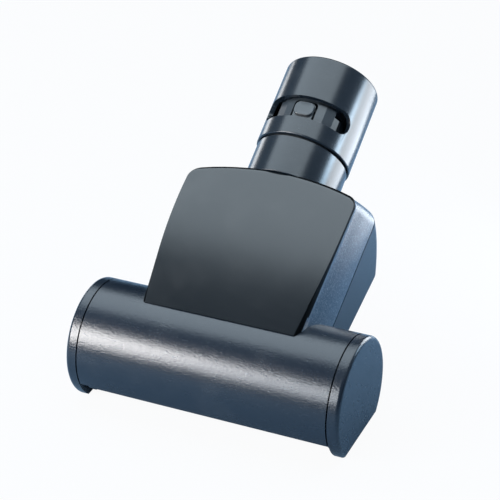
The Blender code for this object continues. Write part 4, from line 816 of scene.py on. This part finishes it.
def makeSlide():
    piece = facetBar("regulatorSlide", regulator["inner"], regulator["rim"], regulator["low"], regulator["high"])
    root = (regulator["inner"] + regulator["rim"]) / 2
    carve(piece, facetBar("slideFace", root, regulator["face"], regulator["faceLow"], regulator["faceTop"]), operation="UNION")
    slot = regulator["slot"]
    opening = roundedPlate(regulator["latchHalf"] + slot, regulator["latchTop"] + slot, -0.01, regulator["corner"] + slot / 2)
    pocket = regulator["latchHalf"] + regulator["pivotLength"] + 0.0003
    depth = regulator["pivotDepth"] + regulator["pivotRadius"] + 0.0003
    carve(piece, plate("tongueHole", opening, 0.0140, 0.0215),
          block("pivotPocket", (-pocket, -depth, 0), (pocket, 0, regulator["pivot"] + regulator["pivotRadius"] + 0.0003)))
    cleanMesh(piece)
    softEdges(piece, 0.00018, 2, 10)
    applyPlace(piece, neckPlace)
    return finishPiece(piece, "regulator", finish["insert"], ["regulator_slide"], angle=14)


def makeLatch():
    half, top = regulator["latchHalf"], regulator["latchTop"]
    piece = plate("regulatorLatch", roundedPlate(half, top, regulator["latchLow"], regulator["corner"]),
                  regulator["back"], regulator["front"])
    softEdges(piece, 0.00015, 2, 40)
    edge = regulator["padInset"]
    pad = plate("latchPad", roundedPlate(half - edge, top - edge, top - regulator["padHeight"] + edge,
                                         regulator["padCorner"] - edge, regulator["padCorner"] - edge),
                (regulator["back"] + regulator["front"]) / 2, regulator["front"] + regulator["padRise"])
    # the pad's face is dished a little for the thumb
    editPiece(pad, "FACE")
    pick("faces", lambda face: face.normal.y < -0.9)
    bpy.ops.mesh.inset(thickness=0.0006, depth=0)
    bpy.ops.mesh.inset(thickness=0.0012, depth=-0.00018)
    bpy.ops.object.mode_set(mode="OBJECT")
    softEdges(pad, 0.00030, 4, 25)
    carve(piece, pad, operation="UNION")
    reach = half + regulator["pivotLength"]
    carve(piece, barrel("trunnions", regulator["pivotRadius"], -reach, reach, 24,
                        centre=(-regulator["pivotDepth"], regulator["pivot"])), operation="UNION")
    cleanMesh(piece)
    applyPlace(piece, neckPlace)
    return finishPiece(piece, "latch", finish["insert"], ["regulator_latch"], angle=35)


# Bristle strips: fibres in tufts, on a backing that winds round the roller
bristle = {"winding": 0.1700, "centre": 0.0330, "seat": 0.0075, "backing": 0.0105, "root": 0.0099, "tip": 0.0197,
           "half": 0.0011, "tuft": 0.0052, "gap": 0.0010, "columns": 9, "rows": 5, "thick": 0.00015, "thin": 0.00010,
           "lean": 0.016, "uneven": 0.0005}
strips = {"left": (-0.05115, 0.02680), "right": (0.03920, 0.05115)}


def copyOf(piece, matrix):
    twin = piece.copy()
    twin.data = piece.data.copy()
    bpy.context.collection.objects.link(twin)
    twin.matrix_world = matrix
    return twin


def joined(first, others):
    bpy.context.view_layer.update()
    selectOnly(first, *others)
    bpy.ops.object.join()
    return applyPlace(first)


def makeTuft(length, draw):
    # one fibre is copied in rows and columns that follow the winding, each with its own lean and length
    selectOnly()
    bpy.ops.mesh.primitive_cone_add(vertices=5, radius1=bristle["thick"], radius2=bristle["thin"], depth=1, location=(0, 0, 0.5))
    fibre = bpy.context.active_object
    fibre.name = "fibre"
    applyPlace(fibre)
    copies = []
    for i in range(bristle["columns"]):
        for j in range(bristle["rows"]):
            x = (length - 2 * bristle["thick"]) * ((i + 0.5 * (j % 2)) / (bristle["columns"] - 0.5) - 0.5)
            y = (bristle["half"] - bristle["thick"]) * (2 * j / (bristle["rows"] - 1) - 1)
            reach = bristle["tip"] - bristle["root"] - draw.uniform(0, bristle["uneven"])
            lean = Matrix.Rotation(draw.uniform(-1, 1) * bristle["lean"], 4, "X") @ Matrix.Rotation(
                draw.uniform(-1, 1) * bristle["lean"], 4, "Y")
            copies.append(copyOf(fibre, Matrix.Rotation(math.tau * x / bristle["winding"], 4, "X") @ Matrix.Translation(
                (x, y, bristle["root"])) @ lean @ Matrix.Diagonal((1, 1, reach, 1))))
    bpy.data.objects.remove(fibre, do_unlink=True)
    return joined(copies[0], copies[1:])


def makeStrip(side, number, draw):
    start, end = strips[side]
    count = round((end - start) / bristle["tuft"])
    step = (end - start) / count

    def turned(x):
        return Matrix.Rotation(math.tau * (x - bristle["centre"]) / bristle["winding"] + math.pi * (number - 1.5), 4, "X")

    piece = block(f"{side}Bristles{number}", (start, -bristle["half"], bristle["seat"]), (end, bristle["half"], bristle["backing"]))
    editPiece(piece, "EDGE")
    pick("edges", lambda edge: abs(edge.verts[0].co.x - edge.verts[1].co.x) > 0.001)
    bpy.ops.mesh.subdivide(number_cuts=3 * count - 1)
    mesh = bmesh.from_edit_mesh(piece.data)
    for vert in mesh.verts:
        vert.co = turned(vert.co.x) @ vert.co
    bmesh.update_edit_mesh(piece.data)
    bpy.ops.object.mode_set(mode="OBJECT")
    tuft = makeTuft(step - bristle["gap"], draw)
    spots = [start + step * (i + 0.5) for i in range(count)]
    copies = [copyOf(tuft, turned(x) @ Matrix.Translation((x, 0, 0))) for x in spots]
    bpy.data.objects.remove(tuft, do_unlink=True)
    joined(piece, copies)
    cleanMesh(piece)
    applyPlace(piece, headPlace)
    return finishPiece(piece, "roller", finish["fibre"], [f"{side}_bristle_strip_{number}"], angle=50)


draw = random.Random(5)
for side in strips:
    for number in (1, 2):
        makeStrip(side, number, draw)
print("turbo brush: bristles done")

makeNeckTube()
makeSeal()
makeSleeve()
makeLiner()
makeSlide()
makeLatch()
print("turbo brush: neck done")


# Camera at the photograph's view, floor, lamps
view = {"azimuth": math.radians(25.572), "elevation": math.radians(30.721), "roll": math.radians(-1.839),
        "aside": -0.010286, "up": -0.064422, "away": 0.772465, "focal": 1823.292, "aim": (0, -0.015247, 0)}


def makeCamera():
    a, e, roll = view["azimuth"], view["elevation"], view["roll"]
    back = Vector((math.sin(a) * math.cos(e), -math.cos(a) * math.cos(e), math.sin(e)))
    right = Vector((math.cos(a), math.sin(a), 0))
    up = back.cross(right)
    turnedRight = right * math.cos(roll) + up * math.sin(roll)
    turnedUp = up * math.cos(roll) - right * math.sin(roll)
    spot = Vector(view["aim"]) - turnedRight * view["aside"] - turnedUp * view["up"] + back * view["away"]
    selectOnly()
    bpy.ops.object.camera_add()
    camera = bpy.context.active_object
    camera.name = "photoCamera"
    axes = Matrix((turnedRight, turnedUp, back)).transposed().to_4x4()
    camera.matrix_world = Matrix.Translation(spot) @ axes
    camera.data.sensor_width = 36
    camera.data.lens = view["focal"] * 36 / 500
    camera.data.clip_start = 0.01
    camera.data.clip_end = 50
    bpy.context.scene.camera = camera


# White paper: its lit colour, how much of it glows to the eye, and what mirrored rays see of the glow
paper = {"radius": 8, "level": -0.0010, "colour": (0.20, 0.32, 0.46, 1), "roughness": 0.9, "glow": 0.95,
         "mirrored": 0.02, "tint": (0.55, 0.80, 1.0, 1), "white": (1, 1, 1, 1)}


def makeFloor():
    selectOnly()
    bpy.ops.mesh.primitive_circle_add(vertices=96, radius=paper["radius"], fill_type="NGON",
                                      location=(0, 0, paper["level"]))
    floor = bpy.context.active_object
    floor.name = "studioFloor"
    material = bpy.data.materials.new("studioFloor")
    material.use_nodes = True
    tree = material.node_tree
    shader = tree.nodes["Principled BSDF"]
    shader.inputs["Base Color"].default_value = paper["colour"]
    shader.inputs["Roughness"].default_value = paper["roughness"]
    path = addNode(tree, "LightPath").outputs
    tint = mixColours(tree, path["Is Camera Ray"], paper["tint"], paper["white"])
    glow = addNode(tree, "Emission", {"Color": tint, "Strength": 1}).outputs[0]
    mirrored = calculate(tree, "ADD", path["Is Glossy Ray"], path["Is Transmission Ray"])
    weaker = calculate(tree, "MULTIPLY", mirrored, paper["mirrored"])
    part = addNode(tree, "Math", {0: path["Is Camera Ray"], 1: paper["glow"], 2: weaker},
                   operation="MULTIPLY_ADD", use_clamp=True).outputs[0]
    front = addNode(tree, "MixShader", {"Fac": part, 1: shader.outputs[0], 2: glow}).outputs[0]
    # seen from below the floor lets the view through
    clear = addNode(tree, "BsdfTransparent").outputs[0]
    facing = addNode(tree, "NewGeometry").outputs["Backfacing"]
    sides = addNode(tree, "MixShader", {"Fac": facing, 1: front, 2: clear}).outputs[0]
    tree.links.new(sides, tree.nodes["Material Output"].inputs["Surface"])
    floor.data.materials.append(material)


lamps = {
    "overheadBox": {"spot": (-0.20, 0.345, 0.85), "aim": (-0.20, 0.345, 0), "size": (1.36, 0.87), "power": 12.4,
                    "colour": (0.78, 0.91, 1.0)},
    "keyLeft": {"spot": (-0.43, -0.50, 0.318), "aim": (0, -0.036, 0.033), "size": (0.36, 0.31), "power": 7.6,
                "colour": (1.0, 0.98, 0.97)},
    "keyFront": {"spot": (-0.15, -0.66, 0.345), "aim": (0, -0.036, 0.033), "size": (0.30, 0.29), "power": 2.2,
                 "colour": (0.86, 0.93, 1.0)},
    "rimRight": {"spot": (0.1015, 0.1505, 0.068), "aim": (0, 0.072, 0.080), "size": (0.101, 0.10), "power": 0.25,
                 "colour": (0.88, 0.94, 1.0)},
    "rimLeft": {"spot": (-0.618, 0.43, 0.075), "aim": (0, 0.07, 0.07), "size": (0.20, 0.14), "power": 0.42,
                "colour": (0.96, 0.98, 1.0)},
    "floorRight": {"spot": (0.215, 0.165, 0.12), "aim": (0.17, 0.14, 0), "size": (0.08, 0.08), "power": 0.27,
                   "colour": (0.50, 0.76, 1.0)},
}

# The dim cool room, and patches of its walls: azimuth, elevation and reach in degrees, gain over the level
room = {"level": 0.18, "colour": (0.55, 0.75, 1.0, 1), "core": 0.4,
        "patches": ((-152, 20, 30, -0.92), (106, 34, 26, 1.1), (-104, 32, 18, 0.7))}


def makeLamps():
    for name, lamp in lamps.items():
        selectOnly()
        bpy.ops.object.light_add(type="AREA", location=lamp["spot"])
        light = bpy.context.active_object
        light.name = name
        light.data.shape = "RECTANGLE"
        light.data.size, light.data.size_y = lamp["size"]
        light.data.energy = lamp["power"]
        light.data.color = lamp["colour"]
        toward = Vector(lamp["aim"]) - Vector(lamp["spot"])
        light.rotation_euler = toward.to_track_quat("-Z", "Y").to_euler()


def roomStrength(tree):
    where = addNode(tree, "TexCoord").outputs["Generated"]
    total = room["level"]
    for azimuth, elevation, reach, gain in room["patches"]:
        a, e, reach = math.radians(azimuth), math.radians(elevation), math.radians(reach)
        centre = (math.sin(a) * math.cos(e), -math.cos(a) * math.cos(e), math.sin(e))
        near = addNode(tree, "VectorMath", {0: where, 1: centre}, operation="DOT_PRODUCT").outputs["Value"]
        patch = addNode(tree, "MapRange", interpolation_type="SMOOTHSTEP", values={
            "Value": near, "From Min": math.cos(reach), "From Max": math.cos(reach * room["core"])}).outputs[0]
        total = calculate(tree, "MULTIPLY_ADD", patch, gain * room["level"], total)
    return total


def makeRoom():
    # white to the eye, and as bright there as the floor's far edge
    world = bpy.data.worlds.new("studioWorld")
    world.use_nodes = True
    tree = world.node_tree
    walls = tree.nodes["Background"]
    walls.inputs["Color"].default_value = room["colour"]
    tree.links.new(roomStrength(tree), walls.inputs["Strength"])
    backdrop = addNode(tree, "Background", {"Color": paper["white"], "Strength": paper["glow"]}).outputs[0]
    seen = addNode(tree, "LightPath").outputs["Is Camera Ray"]
    mix = addNode(tree, "MixShader", {"Fac": seen, 1: walls.outputs[0], 2: backdrop}).outputs[0]
    tree.links.new(mix, tree.nodes["World Output"].inputs["Surface"])
    bpy.context.scene.world = world


makeCamera()
makeFloor()
makeLamps()
makeRoom()
bpy.context.scene.view_settings.view_transform = "Standard"
print("turbo brush: studio ready")

# CAD nodes that keep their shape take a finish of their own
slotFinish = {"black_shell": "neck", "grey_insert": "insert", "pulley_nylon": "nylon", "bright_steel": "steel",
              "bush_bronze": "bronze", "belt_rubber": "rubber", "seal_rubber": "rubber", "bristle_fibre": "fibre"}
slotOf = {part["node"]: part["material_slot"] for part in frame["record"]["subparts"]}
for node, item in frame["nodes"].items():
    if not item.hide_render:
        item.data.materials.clear()
        item.data.materials.append(finish[slotFinish[slotOf[node]]])

selectOnly()
